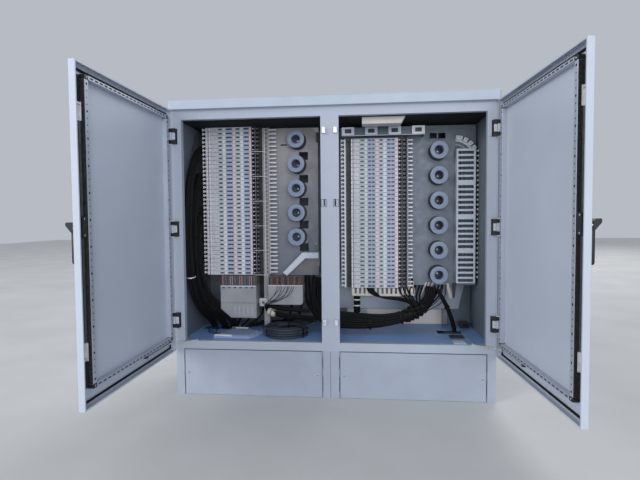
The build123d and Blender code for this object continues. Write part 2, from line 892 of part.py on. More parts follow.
def column_carrier(x, y, top, rail):
    """The dark carrier behind a column, with its wire ladder on the right and the rail beyond it."""
    low = top - module_count * module_pitch
    edge = x + module_width_half
    carrier = block(x - module_width_half, edge + ladder_width, column_foot_y(y), plate_front_y, low, top)
    front = y + ladder_setback
    for post_x in (edge, edge + (ladder_width - ladder_post) / 2, edge + ladder_width - ladder_post):
        carrier += block(post_x, post_x + ladder_post, front, column_foot_y(y), low, top)
    for index in range(module_count):
        z = top - (index + 0.5) * module_pitch
        carrier += block(edge, edge + ladder_width, front, front + ladder_depth, z - ladder_rung / 2,
                         z + ladder_rung / 2)
    if rail:
        carrier += block(edge + ladder_width, edge + ladder_width + rail, plate_front_y - rail_depth,
                         plate_front_y, sill_top, top)
    return carrier


def wire_comb(x, top, reach, front, facing):
    """A strip of guide fingers on the plate: a spine with one finger for each module."""
    low = top - module_count * module_pitch
    comb = block(x, x + facing * comb_spine, front, plate_front_y, low, top)
    for index in range(module_count):
        z = top - (index + 0.5) * module_pitch
        comb += block(x, x + facing * reach, front, front + comb_depth, z - comb_tooth / 2, z + comb_tooth / 2)
    return comb


def wire_combs():
    """The combs on both sides of the two columns."""
    left_edge = left_column_x - module_width_half
    right_edge = right_column_x - module_width_half
    left_end = left_column_x + module_width_half + ladder_width + rail_width
    right_end = right_column_x + module_width_half + ladder_width
    return [
        wire_comb(left_edge - 1, left_column_top, ear_reach, left_column_front_y + 14, -1),
        wire_comb(right_edge - right_ear_gap, right_column_top, ear_reach, right_column_front_y + 14, -1),
        wire_comb(left_end, left_column_top, comb_width + comb_spine, plate_front_y - 34, 1),
        wire_comb(right_end, right_column_top, comb_width - comb_spine, plate_front_y - 34, 1),
    ]


def wire_lip():
    """The toothed lip under the right column."""
    top = right_column_top - module_count * module_pitch
    x0 = right_column_x - module_width_half
    x1 = x0 + lip_width
    y0 = right_column_front_y + 10
    lip = block(x0, x1, y0, plate_front_y, top - lip_height, top)
    lip -= block(x0 + lip_wall, x1 - lip_wall, y0 + lip_wall, plate_front_y, top - lip_height + lip_wall, top)
    edge = right_column_x + module_width_half + ladder_width + comb_spine
    lip += block(edge + 2, x1, plate_front_y - lip_wall, plate_front_y, top - lip_height, top + lip_hanger_height)
    count = int((x1 - x0 - 30) // lip_tooth_pitch)
    for index in range(count):
        x = x0 + 24 + index * lip_tooth_pitch
        lip -= block(x, x + lip_tooth_pitch / 2, y0, y0 + lip_wall, top - lip_height + 14, top - 6)
    return lip


def guide_spools():
    """The guide spools: one turned profile, a flange in front of a hollow core, each on its plate."""
    front = plate_front_y - spool_length
    profile = Polyline(
        (spool_bore, front),
        (spool_radius - 2, front),
        (spool_radius, front + 2),
        (spool_radius, front + spool_flange),
        (spool_core, front + spool_flange),
        (spool_core, plate_front_y),
        (spool_bore, plate_front_y),
        close=True,
    )
    spool = revolve(make_face(profile), axis=Axis.Y)
    rows = ((left_spool_x, left_spool_top, left_spool_count), (right_spool_x, right_spool_top, right_spool_count))
    return [Pos(x, 0, top - index * spool_pitch) * spool for x, top, count in rows for index in range(count)]


def slotted_duct():
    """The slotted cable panel with its fan-shaped head."""
    x0, x1 = duct_x
    z0, z1 = duct_z
    duct = block(x0, x1, duct_front_y, plate_front_y, z0, z1)
    duct -= block(x0 + duct_wall, x1 - duct_wall, duct_front_y + duct_wall, plate_front_y, z0, z1 - duct_wall)
    middle = (x0 + x1) / 2
    width, height = duct_slot
    for group in range(duct_groups):
        for index in range(duct_group_slots):
            z = z1 - duct_first_slot - group * duct_group_pitch - index * duct_slot_pitch
            duct -= block(middle - width / 2, middle + width / 2, duct_front_y, duct_front_y + duct_wall,
                          z - height / 2, z + height / 2)
    centre_z = z1 - fan_centre_drop
    disc = rod_y(x0, plate_front_y - fan_thickness, plate_front_y, centre_z, fan_plate_radius)
    head = disc & block(x0, x0 + fan_radius, plate_front_y - fan_thickness, plate_front_y, z1, z1 + fan_radius)
    width, height = fan_block
    for angle in fan_angles:
        x = x0 + fan_radius * math.cos(math.radians(angle))
        z = centre_z + fan_radius * math.sin(math.radians(angle))
        piece = Box(width, fan_block_depth, height)
        y = plate_front_y - fan_block_depth / 2
        head += Pos(x, y, z) * Rot(0, 90 - angle, 0) * piece
    return duct + head


def guide_rings():
    """Four square guide rings on a bar that two arms hold off the plate."""
    width, height = ring_size
    window_width, window_height = ring_window
    last = ring_first_x + (ring_count - 1) * ring_pitch
    low = ring_z - height / 2
    bar_y = ring_front_y + ring_thickness
    bar = block(ring_first_x - width / 2, last + width / 2, bar_y, bar_y + ring_bar_thickness, low,
                low + ring_bar_height)
    for x in (ring_first_x - width / 2, last + width / 2 - ring_arm_width):
        bar += block(x, x + ring_arm_width, bar_y, plate_front_y, low, low + ring_bar_height)
    for index in range(ring_count):
        x = ring_first_x + index * ring_pitch
        bar += block(x - width / 2, x + width / 2, ring_front_y, bar_y, low, low + height)
        bar -= block(x - window_width / 2, x + window_width / 2, ring_front_y, bar_y + ring_bar_thickness,
                     ring_z - window_height / 2, ring_z + window_height / 2)
    return bar


def ceiling_box():
    """The box under the ceiling, with a slanted right end."""
    x0, x1 = ceiling_box_x
    y0, y1 = ceiling_box_y
    low = opening_top - ceiling_box_height
    profile = Polyline((x0, low), (x1 - ceiling_box_slant, low), (x1, opening_top), (x0, opening_top), close=True)
    front = Plane(origin=(0, y1, 0), x_dir=(1, 0, 0), z_dir=(0, -1, 0))
    return extrude(front * make_face(profile), amount=y1 - y0)


def wire_tray():
    """The bent deflector between the left bay and the mullion: a flange in front of a cut web."""
    front = Plane(origin=(0, tray_y[0], 0), x_dir=(1, 0, 0), z_dir=(0, -1, 0))
    path = Polyline(*tray_points)
    band = extrude(front * make_face(offset(path, tray_band, side=Side.RIGHT)), amount=-tray_sheet)
    fold = extrude(front * make_face(offset(path, tray_sheet, side=Side.RIGHT)), amount=tray_y[0] - tray_y[1])
    low, bend, end = tray_points
    web = Polyline(
        low,
        bend,
        end,
        (end[0], end[1] - tray_web_height),
        (end[0] - tray_web_cut, end[1] - tray_web_height - tray_web_cut),
        (bend[0] - 6, low[1] - 2),
        close=True,
    )
    back = Plane(origin=(0, tray_y[1], 0), x_dir=(1, 0, 0), z_dir=(0, -1, 0))
    return band + fold + extrude(back * make_face(web), amount=tray_sheet)


def splice_box_one():
    """The larger box under the left column, with a cut corner."""
    x0, x1 = splice_one_x
    z0, z1 = splice_one_z
    cut_x, cut_z = splice_chamfer
    profile = Polyline((x0 + cut_x, z0), (x1, z0), (x1, z1), (x0, z1), (x0, z0 + cut_z), close=True)
    front = Plane(origin=(0, plate_front_y, 0), x_dir=(1, 0, 0), z_dir=(0, -1, 0))
    return extrude(front * make_face(profile), amount=plate_front_y - splice_front_y)


def splice_box_two():
    """The smaller box beside it, with rounded lower corners."""
    x0, x1 = splice_two_x
    z0, z1 = splice_two_z
    body = block(x0, x1, splice_front_y, plate_front_y, z0, z1)
    return fillet(body.edges().filter_by(Axis.Y).group_by(Axis.Z)[0], splice_round)


def loose_cover():
    """A plastic cover that lies on the floor of the left bay."""
    length, width, height = loose_cover_size
    wall = loose_cover_wall
    cover = Box(length, width, height)
    cover = chamfer(cover.edges().filter_by(Axis.Z), 12)
    cover -= Pos(0, 0, -wall) * Box(length - 8 * wall, width - 8 * wall, height)
    x, y = loose_cover_place
    return Pos(x, y, sill_top + height / 2) * Rot(0, 0, loose_cover_turn) * cover


def cable_coil():
    """The outer shape of a coil of cable that lies on the floor of the left bay."""
    x, y = coil_centre
    ring = rod_z(x, y, sill_top, sill_top + coil_height, coil_radius)
    ring -= rod_z(x, y, sill_top, sill_top + coil_height, coil_eye)
    return chamfer(ring.edges().group_by(Axis.Z)[-1], 14)


def left_bundle():
    """The three trunks that run down the left side and through the floor."""
    floor = sill_top - floor_sheet
    ear_x = left_column_x - module_width_half - ear_reach
    runs = []
    rows = zip(left_trunk_starts, left_trunk_depths, left_trunk_bends, left_trunk_feet)
    for index, (height, y, bend, foot_x) in enumerate(rows):
        x = left_trunk_x + 2 * index
        points = (
            (ear_x - 22, 0.0, height),
            (x, y, height - 110),
            (x, y - 4, 560.0),
            bend,
            (foot_x, 40.0 + 5 * index, 320.0),
            (foot_x + 2, 60.0 + 4 * index, floor - 20),
        )
        runs.append(cable(points, left_trunk_diameter))
    return runs


def right_bundle():
    """The trunk from under the left plate past the mullion, its branch, and the riser from the floor."""
    trunk = cable(
        (
            (-96.0, 2.0, 575.0),
            (-104.0, -8.0, 450.0),
            (-62.0, -45.0, 352.0),
            (40.0, -70.0, 343.0),
            (220.0, -70.0, 342.0),
            (370.0, -62.0, 376.0),
            (470.0, -42.0, 420.0),
            (516.0, -4.0, 468.0),
            (522.0, 10.0, 524.0),
        ),
        trunk_diameter,
    )
    branch = cable(
        ((-380.0, 9.0, 420.0), (-335.0, -22.0, 410.0), (-200.0, -34.0, 402.0), (-140.0, -26.0, 396.0)),
        branch_diameter,
    )
    floor = sill_top - floor_sheet
    riser = cable(
        ((560.0, 6.0, 512.0), (588.0, -6.0, 462.0), (612.0, -4.0, 412.0), (634.0, 0.0, 350.0), (650.0, 8.0, 290.0),
         (652.0, 12.0, floor - 20)),
        riser_diameter,
    )
    return [trunk, branch, riser]


# Assembly


def open_door(shape, side):
    """A door piece, modelled closed on the right, as it stands on its side of the open cabinet."""
    if side == "right":
        return shape.rotate(Axis((hinge_x, hinge_y, 0), (0, 0, 1)), right_open_angle)
    return mirrored(shape).rotate(Axis((-hinge_x, hinge_y, 0), (0, 0, 1)), -left_open_angle)


def door_nodes():
    """Every node of the right door, closed."""
    return {
        "door_skin": [door_skin()],
        "door_tube_frame": tube_frame(),
        "door_corner_pieces": corner_pieces(),
        "door_seal": [door_seal()],
        "door_knuckles": [door_knuckle(z) for z in hinge_heights],
        "lock_case": [lock_case()],
        "upper_lock_rod": [lock_rod(upper_rod_end, 1)],
        "lower_lock_rod": [lock_rod(lower_rod_end, -1)],
        "handle_base": [handle_base()],
        "handle_hub": [handle_hub()],
        "handle_lever": [handle_lever()],
    }


def cabinet_nodes():
    """Every node that stands still."""
    module = plinth_module()
    covers = [plinth_cover(front_y), plinth_cover(rear_y - cover_sheet)]
    shift = Pos(-half_width, 0, 0)
    right_hinges = [frame_hinge(z) for z in hinge_heights]
    right_pins = [hinge_pin(z) for z in hinge_heights]
    return {
        "plinth_frames": [module, mirrored(module)],
        "plinth_covers": covers + [shift * piece for piece in covers],
        "floor_plate": [floor_plate()],
        "left_jamb": [mirrored(jamb())],
        "right_jamb": [jamb()],
        "top_rail": [top_rail()],
        "sill": [sill()],
        "mullion": [mullion()],
        "strikers": strikers(),
        "left_side_wall": [mirrored(side_wall())],
        "right_side_wall": [side_wall()],
        "rear_wall": [rear_wall()],
        "inner_liner": [inner_liner()],
        "ceiling_panel": [ceiling_panel()],
        "roof_cap": [roof_cap()],
        "frame_hinges": right_hinges + [mirrored(piece) for piece in right_hinges],
        "hinge_pins": right_pins + [mirrored(piece) for piece in right_pins],
        "stay_brackets": both_sides(stay_bracket()),
        "left_mounting_plate": [left_plate()],
        "right_mounting_plate": [right_plate()],
        "left_terminal_modules": terminal_column(left_column_x, left_column_front_y, left_column_top),
        "right_terminal_modules": terminal_column(right_column_x, right_column_front_y, right_column_top),
        "column_carriers": [
            column_carrier(left_column_x, left_column_front_y, left_column_top, rail_width),
            column_carrier(right_column_x, right_column_front_y, right_column_top, 0),
        ],
        "wire_combs": wire_combs(),
        "guide_spools": guide_spools(),
        "slotted_duct": [slotted_duct()],
        "guide_rings": [guide_rings()],
        "ceiling_box": [ceiling_box()],
        "wire_tray": [wire_tray()],
        "wire_lip": [wire_lip()],
        "splice_boxes": [splice_box_one(), splice_box_two()],
        "loose_cover": [loose_cover()],
        "cable_coil": [cable_coil()],
        "left_cable_bundle": left_bundle(),
        "right_cable_bundle": right_bundle(),
    }


def write(name, solids):
    """One STEP file for a node."""
    shape = solids[0] if len(solids) == 1 else Compound(children=[Part(piece.wrapped) for piece in solids])
    export_step(shape, "parts/" + name + ".step")


os.makedirs("parts", exist_ok=True)
for node, solids in cabinet_nodes().items():
    write(node, solids)
closed = door_nodes()
for side, opening in (("left", left_open_angle), ("right", right_open_angle)):
    for node, solids in closed.items():
        write(side + "_" + node, [open_door(piece, side) for piece in solids])
    link = stay_link(opening)
    write(side + "_stay", [link if side == "right" else mirrored(link)])
print("stay turns per door turn:", [(stay_direction(angle) % 360 - stay_direction(0) % 360) / angle
                                    for angle in (left_open_angle, right_open_angle)])
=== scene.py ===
"""The roadside utility cabinet's looks: materials, pieces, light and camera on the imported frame.

Pieces are given in millimetres in the frame's axes: Z up, the open front towards -Y.
"""
import json
import math
import random

import bmesh
import bpy
from mathutils import Matrix, Vector

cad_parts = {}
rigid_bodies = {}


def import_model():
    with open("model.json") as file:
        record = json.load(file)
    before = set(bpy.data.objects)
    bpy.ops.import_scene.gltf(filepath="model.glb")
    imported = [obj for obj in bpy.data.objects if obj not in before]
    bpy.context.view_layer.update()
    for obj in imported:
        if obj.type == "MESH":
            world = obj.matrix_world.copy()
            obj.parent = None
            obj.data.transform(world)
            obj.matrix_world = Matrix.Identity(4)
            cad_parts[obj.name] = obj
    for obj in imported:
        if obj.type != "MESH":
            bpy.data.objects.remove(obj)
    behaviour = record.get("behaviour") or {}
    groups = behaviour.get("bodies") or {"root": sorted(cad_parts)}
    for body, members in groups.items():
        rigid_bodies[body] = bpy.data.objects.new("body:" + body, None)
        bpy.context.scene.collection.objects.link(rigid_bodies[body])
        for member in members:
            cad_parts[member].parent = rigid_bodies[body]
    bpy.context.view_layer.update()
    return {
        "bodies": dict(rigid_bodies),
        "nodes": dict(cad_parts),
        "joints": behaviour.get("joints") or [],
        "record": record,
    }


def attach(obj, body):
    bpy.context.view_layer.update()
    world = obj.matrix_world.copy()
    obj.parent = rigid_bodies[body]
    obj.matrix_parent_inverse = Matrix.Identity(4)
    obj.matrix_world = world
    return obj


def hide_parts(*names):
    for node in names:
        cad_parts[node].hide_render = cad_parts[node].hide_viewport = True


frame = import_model()
random.seed(7)

SIDES = ("left", "right")

# Places that the CAD gives, in millimetres, and how far each door stands open, in degrees
FRONT_Y = -250
BACK_Y = 250
PLATE_Y = 50
LINER_Y = 218.5
FLOOR_Z = 280
ROW = 22.5
COUNT = 36
MODULE_WIDTH = 252
HINGE_X = 803.75
HINGE_Y = -262.7
HINGE_Z = (387.0, 854.5, 1322.0)
SKIN_Y = -278.75
OPEN_ANGLE = {"left": 90.2, "right": 94.2}

# Directions, and the axes of a point
TO_FRONT = (0, -1, 0)
TO_BACK = (0, 1, 0)
UP = (0, 0, 1)
X, Z = 0, 2


# Camera, solved from the photo

YAW = math.radians(5.82)
PITCH = math.radians(-2.61)
ROLL = math.radians(-0.471)
FOCAL_PX = 481.9
PHOTO_WIDTH = 640
SENSOR = 36
CAMERA_AT = (0.1915, -2.6261, 0.9042)


def add_camera():
    data = bpy.data.cameras.new("camera")
    camera = bpy.data.objects.new("camera", data)
    bpy.context.collection.objects.link(camera)
    data.sensor_width = SENSOR
    data.lens = FOCAL_PX / PHOTO_WIDTH * SENSOR
    data.clip_end = 60
    forward = Vector((-math.sin(YAW) * math.cos(PITCH), math.cos(YAW) * math.cos(PITCH), math.sin(PITCH)))
    right = Vector((math.cos(YAW), math.sin(YAW), 0))
    up = right.cross(forward)
    right_rolled = right * math.cos(ROLL) + up * math.sin(ROLL)
    up_rolled = up * math.cos(ROLL) - right * math.sin(ROLL)
    turn = Matrix((right_rolled, up_rolled, -forward)).transposed()
    camera.matrix_world = Matrix.Translation(CAMERA_AT) @ turn.to_4x4()
    bpy.context.scene.camera = camera


# Materials


def tone(colour, factor):
    return tuple(min(1.0, c * factor) for c in colour)


def grey(value):
    return (value,) * 3


class Shader:
    """A node tree under construction, with short calls for the nodes used here."""

    def __init__(self, name):
        self.material = bpy.data.materials.new(name)
        self.material.use_nodes = True
        self.tree = self.material.node_tree
        self.principled = self.tree.nodes["Principled BSDF"]
        self.coordinates = self.node("TexCoord").outputs["Object"]

    def put(self, value, socket):
        """Links an output to a socket, or sets a plain value or colour on it."""
        if hasattr(value, "is_output"):
            self.tree.links.new(value, socket)
        elif isinstance(value, tuple):
            socket.default_value = (*value, 1)
        else:
            socket.default_value = value

    def node(self, kind, **inputs):
        node = self.tree.nodes.new("ShaderNode" + kind)
        for name, value in inputs.items():
            self.put(value, node.inputs[name])
        return node

    def noise(self, scale, detail=3.0, roughness=0.5, stretch=None):
        place = self.coordinates
        if stretch:
            mapping = self.node("Mapping", Vector=place)
            mapping.inputs["Scale"].default_value = stretch
            place = mapping.outputs["Vector"]
        node = self.node("TexNoise", Vector=place, Scale=scale, Detail=detail, Roughness=roughness)
        return node.outputs["Fac"]

    def ramp(self, factor, low, high, start=0.3, end=0.7):
        node = self.node("ValToRGB", Fac=factor)
        for element, place, colour in zip(node.color_ramp.elements, (start, end), (low, high)):
            element.position = place
            element.color = (*colour, 1)
        return node.outputs["Color"]

    def mottled(self, noise, colour, low, high, start=0.3):
        return self.ramp(noise, tone(colour, low), tone(colour, high), start, 1 - start)

    def blend(self, factor, first, second, mode="MIX"):
        node = self.node("Mix")
        node.data_type = "RGBA"
        node.blend_type = mode
        for value, socket in ((factor, 0), (first, 6), (second, 7)):
            self.put(value, node.inputs[socket])
        return node.outputs[2]

    def math(self, operation, *values):
        node = self.node("Math")
        node.operation = operation
        for value, socket in zip(values, node.inputs):
            self.put(value, socket)
        return node.outputs[0]

    def height(self):
        return self.node("SeparateXYZ", Vector=self.coordinates).outputs["Z"]

    def dusted(self, base, amount, colour, scale, detail, roughness=0.6):
        """Dust on what faces up, in patches."""
        normal = self.node("NewGeometry").outputs["Normal"]
        up = self.math("MAXIMUM", self.node("SeparateXYZ", Vector=normal).outputs["Z"], 0.0)
        soil = self.math("MULTIPLY", up, self.noise(scale, detail, roughness))
        return self.blend(self.math("MULTIPLY", soil, amount), base, colour)

    def bump(self, noise, strength, distance):
        node = self.node("Bump", Height=noise, Strength=strength, Distance=distance)
        self.put(node.outputs["Normal"], self.principled.inputs["Normal"])

    def finish(self, colour, roughness, metallic=0.0, specular=0.5):
        for name, value in (("Base Color", colour), ("Roughness", roughness), ("Metallic", metallic),
                            ("Specular IOR Level", specular)):
            self.put(value, self.principled.inputs[name])
        return self.material


def powder_coat(name, colour, roughness=0.42, dust=0.25, dust_colour=(0.52, 0.50, 0.45)):
    """Sprayed enamel: fine orange peel, faint clouds and specks, dust on what faces up."""
    s = Shader(name)
    base = s.mottled(s.noise(3.1, 5), colour, 0.955, 1.03)
    specks = s.ramp(s.noise(210, 2), grey(0), grey(1), 0.62, 0.72)
    base = s.blend(s.math("MULTIPLY", specks, 0.10), base, tone(colour, 0.6))
    base = s.dusted(base, dust * 1.6, dust_colour, 17, 6, 0.65)
    rough = s.math("MULTIPLY_ADD", s.noise(26, 3), 0.14, roughness - 0.07)
    s.bump(s.noise(520, 2), 0.12, 0.0012)
    return s.finish(base, rough, specular=0.45)


def moulded(name, colour, roughness=0.5, grain=700.0, strength=0.12, mottle=0.06, dust=0.15):
    """Moulded plastic: fine spark-eroded grain, a slightly uneven tone and dust on top."""
    s = Shader(name)
    base = s.mottled(s.noise(11, 4), colour, 1 - mottle, 1 + mottle)
    base = s.dusted(base, dust, (0.48, 0.46, 0.42), 40, 5)
    rough = s.ramp(s.noise(60, 3), grey(roughness - 0.06), grey(roughness + 0.08))
    s.bump(s.noise(grain, 2), strength, 0.0006)
    return s.finish(base, rough, specular=0.42)


def zinc_plated(name, colour=(0.72, 0.73, 0.75), roughness=0.28):
    """Bright zinc: a cloudy sheen with fine drawn lines."""
    s = Shader(name)
    base = s.mottled(s.noise(55, 4), colour, 0.82, 1.05)
    rough = s.ramp(s.noise(90, 4), grey(roughness - 0.08), grey(roughness + 0.16), 0.25, 0.75)
    s.bump(s.noise(300, 3, 0.5, (1, 1, 0.05)), 0.10, 0.0004)
    return s.finish(base, rough, metallic=0.95)


def galvanised(name, colour, roughness, metallic, high=None):
    """Zinc-coated sheet: pale spangles and a dull, blotchy sheen; high is a paler colour painted towards the
    top as painted light.
    """
    s = Shader(name)
    cells = s.node("TexVoronoi", Vector=s.coordinates, Scale=95)
    spangle = s.ramp(cells.outputs["Distance"], tone(colour, 0.97), tone(colour, 1.03), 0.0, 0.8)
    base = s.blend(1.0, spangle, s.ramp(s.noise(6, 5), grey(0.92), grey(1)), "MULTIPLY")
    if high:
        # Painted light: above 0.75 m the colour blends towards the paler high colour, for light that falls on
        # the plate's upper part.
        rise = s.math("MULTIPLY", s.math("SUBTRACT", s.height(), 0.75), 1.6)
        base = s.blend(s.math("MINIMUM", s.math("MAXIMUM", rise, 0.0), 1.0), base, high)
    rough = s.ramp(s.noise(34, 4), grey(roughness - 0.1), grey(roughness + 0.12))
    s.bump(s.noise(420, 2), 0.05, 0.0005)
    return s.finish(base, rough, metallic=metallic)


def foam(name, colour):
    """Cellular rubber: open pores and no shine."""
    s = Shader(name)
    base = s.mottled(s.noise(160, 5), colour, 0.6, 1.5, 0.35)
    s.bump(s.noise(900, 4), 0.5, 0.001)
    return s.finish(base, 0.9, specular=0.2)


def rod_zinc_painted_shade(name, low, high):
    """Rolled bar with its length painted dark as painted shade, and a bright bracket at its end, above high
    or below low.
    """
    s = Shader(name)
    height = s.height()
    bright = s.math("MAXIMUM", s.math("GREATER_THAN", height, high), s.math("LESS_THAN", height, low))
    # Painted shade: the bar's dark tone stands in for the shade and dark reflections along the lock rods.
    dull = s.ramp(s.noise(45, 4), (0.075, 0.080, 0.088), (0.12, 0.125, 0.135))
    clean = s.ramp(s.noise(55, 4), (0.62, 0.63, 0.66), (0.78, 0.79, 0.82))
    s.bump(s.noise(300, 3, 0.5, (1, 1, 0.05)), 0.10, 0.0004)
    return s.finish(s.blend(bright, dull, clean), 0.42, metallic=0.35)


def jacket(name, colour, roughness=0.38):
    """Extruded cable jacket: soft sheen with faint scuffs and dust."""
    s = Shader(name)
    base = s.mottled(s.noise(35, 5, 0.6), colour, 0.75, 1.25)
    base = s.dusted(base, 0.05, (0.40, 0.38, 0.34), 60, 5)
    s.bump(s.noise(650, 2), 0.08, 0.0005)
    return s.finish(base, roughness, specular=0.18)


M = {
    "paint": powder_coat("grey_enamel", (0.43, 0.475, 0.56)),
    # A lighter copy of the body's grey enamel, on the doors' insides and the guide rings: painted light.
    "paint_inner_painted_light": powder_coat("grey_enamel_inside_painted_light", (0.55, 0.605, 0.70), 0.38, 0.12),
    # A darker copy of the body's grey enamel for the inner liner: painted shade of the cabinet's inside.
    "liner": powder_coat("grey_enamel_liner_painted_shade", (0.15, 0.18, 0.215), 0.5, 0.2),
    "floor": powder_coat("blue_grey_enamel", (0.22, 0.40, 0.78), 0.35, 0.15, (0.34, 0.46, 0.66)),
    "panel_cream": powder_coat("cream_enamel", (0.80, 0.76, 0.73), 0.5, 0.1),
    "panel_blue": powder_coat("pale_blue_enamel", (0.50, 0.56, 0.65), 0.45, 0.1),
    "tray_flange": powder_coat("pale_flange", (0.62, 0.66, 0.74), 0.4, 0.1),
    "entry_plate": powder_coat("entry_enamel", (0.26, 0.40, 0.62), 0.35, 0.1),
    "bright": powder_coat("bright_plate", (0.62, 0.65, 0.70), 0.35, 0.05),
    # Dark enamel for the guide-ring bar: painted shade under the ceiling.
    "bar_painted_shade": powder_coat("dark_enamel_painted_shade", (0.09, 0.11, 0.14), 0.45, 0.15),
    "roof": moulded("roof_resin", (0.46, 0.52, 0.61), 0.46, 380, 0.16, 0.03, 0.3),
    "plinth": moulded("plinth_resin", (0.39, 0.435, 0.52), 0.55, 300, 0.25, 0.04, 0.4),
    "black": moulded("black_resin", (0.020, 0.021, 0.024), 0.42, 800, 0.15, 0.1, 0.1),
    "duct": moulded("pale_blue_resin", (0.56, 0.62, 0.71), 0.44, 700, 0.12, 0.05),
    # Dark resin for the duct's windows and the fan's gaps: painted shade.
    "duct_painted_shade": moulded("duct_resin_painted_shade", (0.13, 0.15, 0.19), 0.5, 600, 0.12, 0.05),
    "spool": moulded("blue_grey_resin", (0.26, 0.31, 0.43), 0.46, 600, 0.12, 0.05),
    "spool_painted_shade": moulded("dark_blue_resin_painted_shade", (0.025, 0.03, 0.045), 0.6, 600, 0.12, 0.05),
    "cover_blue": moulded("blue_cover_resin", (0.30, 0.38, 0.56), 0.45, 600, 0.12, 0.05),
    "cover_white": moulded("cover_white_resin", (0.70, 0.72, 0.76), 0.42, 700, 0.1),
    "splice": moulded("splice_box_resin", (0.34, 0.345, 0.37), 0.46, 700, 0.1, 0.1),
    "box": moulded("pale_grey_resin", (0.52, 0.52, 0.54), 0.42, 700, 0.1),
    "post": moulded("warm_grey_enamel", (0.36, 0.36, 0.37), 0.5, 700, 0.1),
    "cream": moulded("cream_resin", (0.62, 0.57, 0.50), 0.5, 700, 0.1),
    "cream_light": moulded("pale_cream_resin", (0.66, 0.62, 0.59), 0.5, 700, 0.1),
    "cream_dark": moulded("brown_resin", (0.20, 0.17, 0.15), 0.55, 700, 0.1),
    "comb_grey": moulded("comb_resin", (0.40, 0.42, 0.46), 0.5, 900, 0.1),
    "white": moulded("white_resin", (0.73, 0.73, 0.77), 0.42, 900, 0.08),
    "lilac": moulded("lilac_resin", (0.67, 0.68, 0.75), 0.42, 900, 0.08),
    "green_white": moulded("green_white_resin", (0.65, 0.71, 0.73), 0.42, 900, 0.08),
    "blue": moulded("blue_resin", (0.50, 0.57, 0.75), 0.42, 900, 0.08),
    "pink": moulded("pink_resin", (0.74, 0.61, 0.66), 0.45, 900, 0.08),
    # Dark resin: the real colour of dark cable ends and ribs, and painted shade where it fills recesses.
    "dark": moulded("dark_resin_and_recess_shade", (0.07, 0.075, 0.11), 0.5, 900, 0.1),
    "seam": moulded("shadow_gap", (0.05, 0.055, 0.07), 0.9, 600, 0.1),
    "ceiling": foam("dark_ceiling", (0.016, 0.017, 0.020)),
    "seal": foam("seal_foam", (0.012, 0.012, 0.013)),
    # Dark strips beside the door's tube frame: painted shade.
    "strip": foam("edge_painted_shade", (0.034, 0.034, 0.038)),
    # Flat dark marks for holes, slots and recesses: painted shade.
    "hole": foam("hole_painted_shade", (0.02, 0.02, 0.022)),
    "zinc": zinc_plated("bright_zinc"),
    "contact": zinc_plated("contact_metal", (0.40, 0.41, 0.46), 0.4),
    "rod": rod_zinc_painted_shade("rod_zinc_painted_shade", 0.4675, 1.2495),
    "plate": galvanised("zinc_sheet", (0.19, 0.22, 0.26), 0.55, 0.2),
    # The left plate's paler top is painted light.
    "plate_painted_light": galvanised("zinc_sheet_painted_light", (0.19, 0.21, 0.25), 0.55, 0.2, (0.38, 0.365, 0.37)),
    "tube": galvanised("zinc_sheet_bright", (0.50, 0.54, 0.62), 0.40, 0.4),
    # The deflector's web is darker than its flange: painted shade.
    "tray_web_painted_shade": galvanised("brown_grey_sheet_painted_shade", (0.22, 0.215, 0.22), 0.5, 0.2),
    "cable": jacket("black_jacket", (0.005, 0.0055, 0.006), 0.62),
    "cable_grey": jacket("dark_grey_jacket", (0.050, 0.056, 0.074), 0.5),
    "wire_thin": jacket("thin_wire_jacket", (0.020, 0.021, 0.024), 0.5),
    "wire_blue": jacket("dark_blue_jacket", (0.05, 0.09, 0.20), 0.5),
    "wire_brown": jacket("brown_wire_jacket", (0.16, 0.145, 0.14), 0.5),
    "wire_red": jacket("red_jacket", (0.24, 0.05, 0.045)),
}

# Nodes by material; a door's nodes are given without their side
NODE_MATERIALS = {
    "plinth": "plinth_frames plinth_covers",
    "paint": "left_jamb right_jamb top_rail sill mullion left_side_wall right_side_wall rear_wall",
    "paint_inner_painted_light": "door_skin door_knuckles",
    "floor": "floor_plate",
    "liner": "inner_liner",
    "ceiling": "ceiling_panel",
    "roof": "roof_cap",
    "zinc": "strikers hinge_pins stay_brackets handle_hub stay",
    "black": "frame_hinges column_carriers door_corner_pieces lock_case handle_base handle_lever",
    "plate": "right_mounting_plate guide_rings wire_tray",
    "plate_painted_light": "left_mounting_plate",
    "white": "left_terminal_modules right_terminal_modules wire_combs",
    "spool": "guide_spools",
    "duct": "slotted_duct",
    "cream": "ceiling_box wire_lip",
    "box": "splice_boxes",
    "cover_blue": "loose_cover",
    "cable_grey": "cable_coil",
    "cable": "left_cable_bundle right_cable_bundle",
    "tube": "door_tube_frame",
    "seal": "door_seal",
    "rod": "upper_lock_rod lower_lock_rod",
}


def paint_nodes():
    """Each carried-over CAD node gets its material."""
    table = {node: material for material, nodes in NODE_MATERIALS.items() for node in nodes.split()}
    for name, node in frame["nodes"].items():
        key = name if name in table else name.split("_", 1)[1]
        node.data.materials.clear()
        node.data.materials.append(M[table[key]])


# Mesh kit


def at(x, y, z):
    return Matrix.Translation((x, y, z))


def upright(y):
    """A frame whose x and y run along the model's X and Z, and whose z looks to the front from a depth."""
    return at(0, y, 0) @ Matrix.Rotation(math.pi / 2, 4, "X")


def facing(x, y, z, direction):
    """A frame at a point whose z looks along a direction, with its y as near to up as it can be."""
    z_axis = Vector(direction).normalized()
    side = Vector(UP).cross(z_axis)
    x_axis = side.normalized() if side.length > 0.01 else Vector((1, 0, 0))
    y_axis = z_axis.cross(x_axis)
    return at(x, y, z) @ Matrix((x_axis, y_axis, z_axis)).transposed().to_4x4()


def oblong(half_x, half_y):
    return [(-half_x, -half_y), (half_x, -half_y), (half_x, half_y), (-half_x, half_y)]


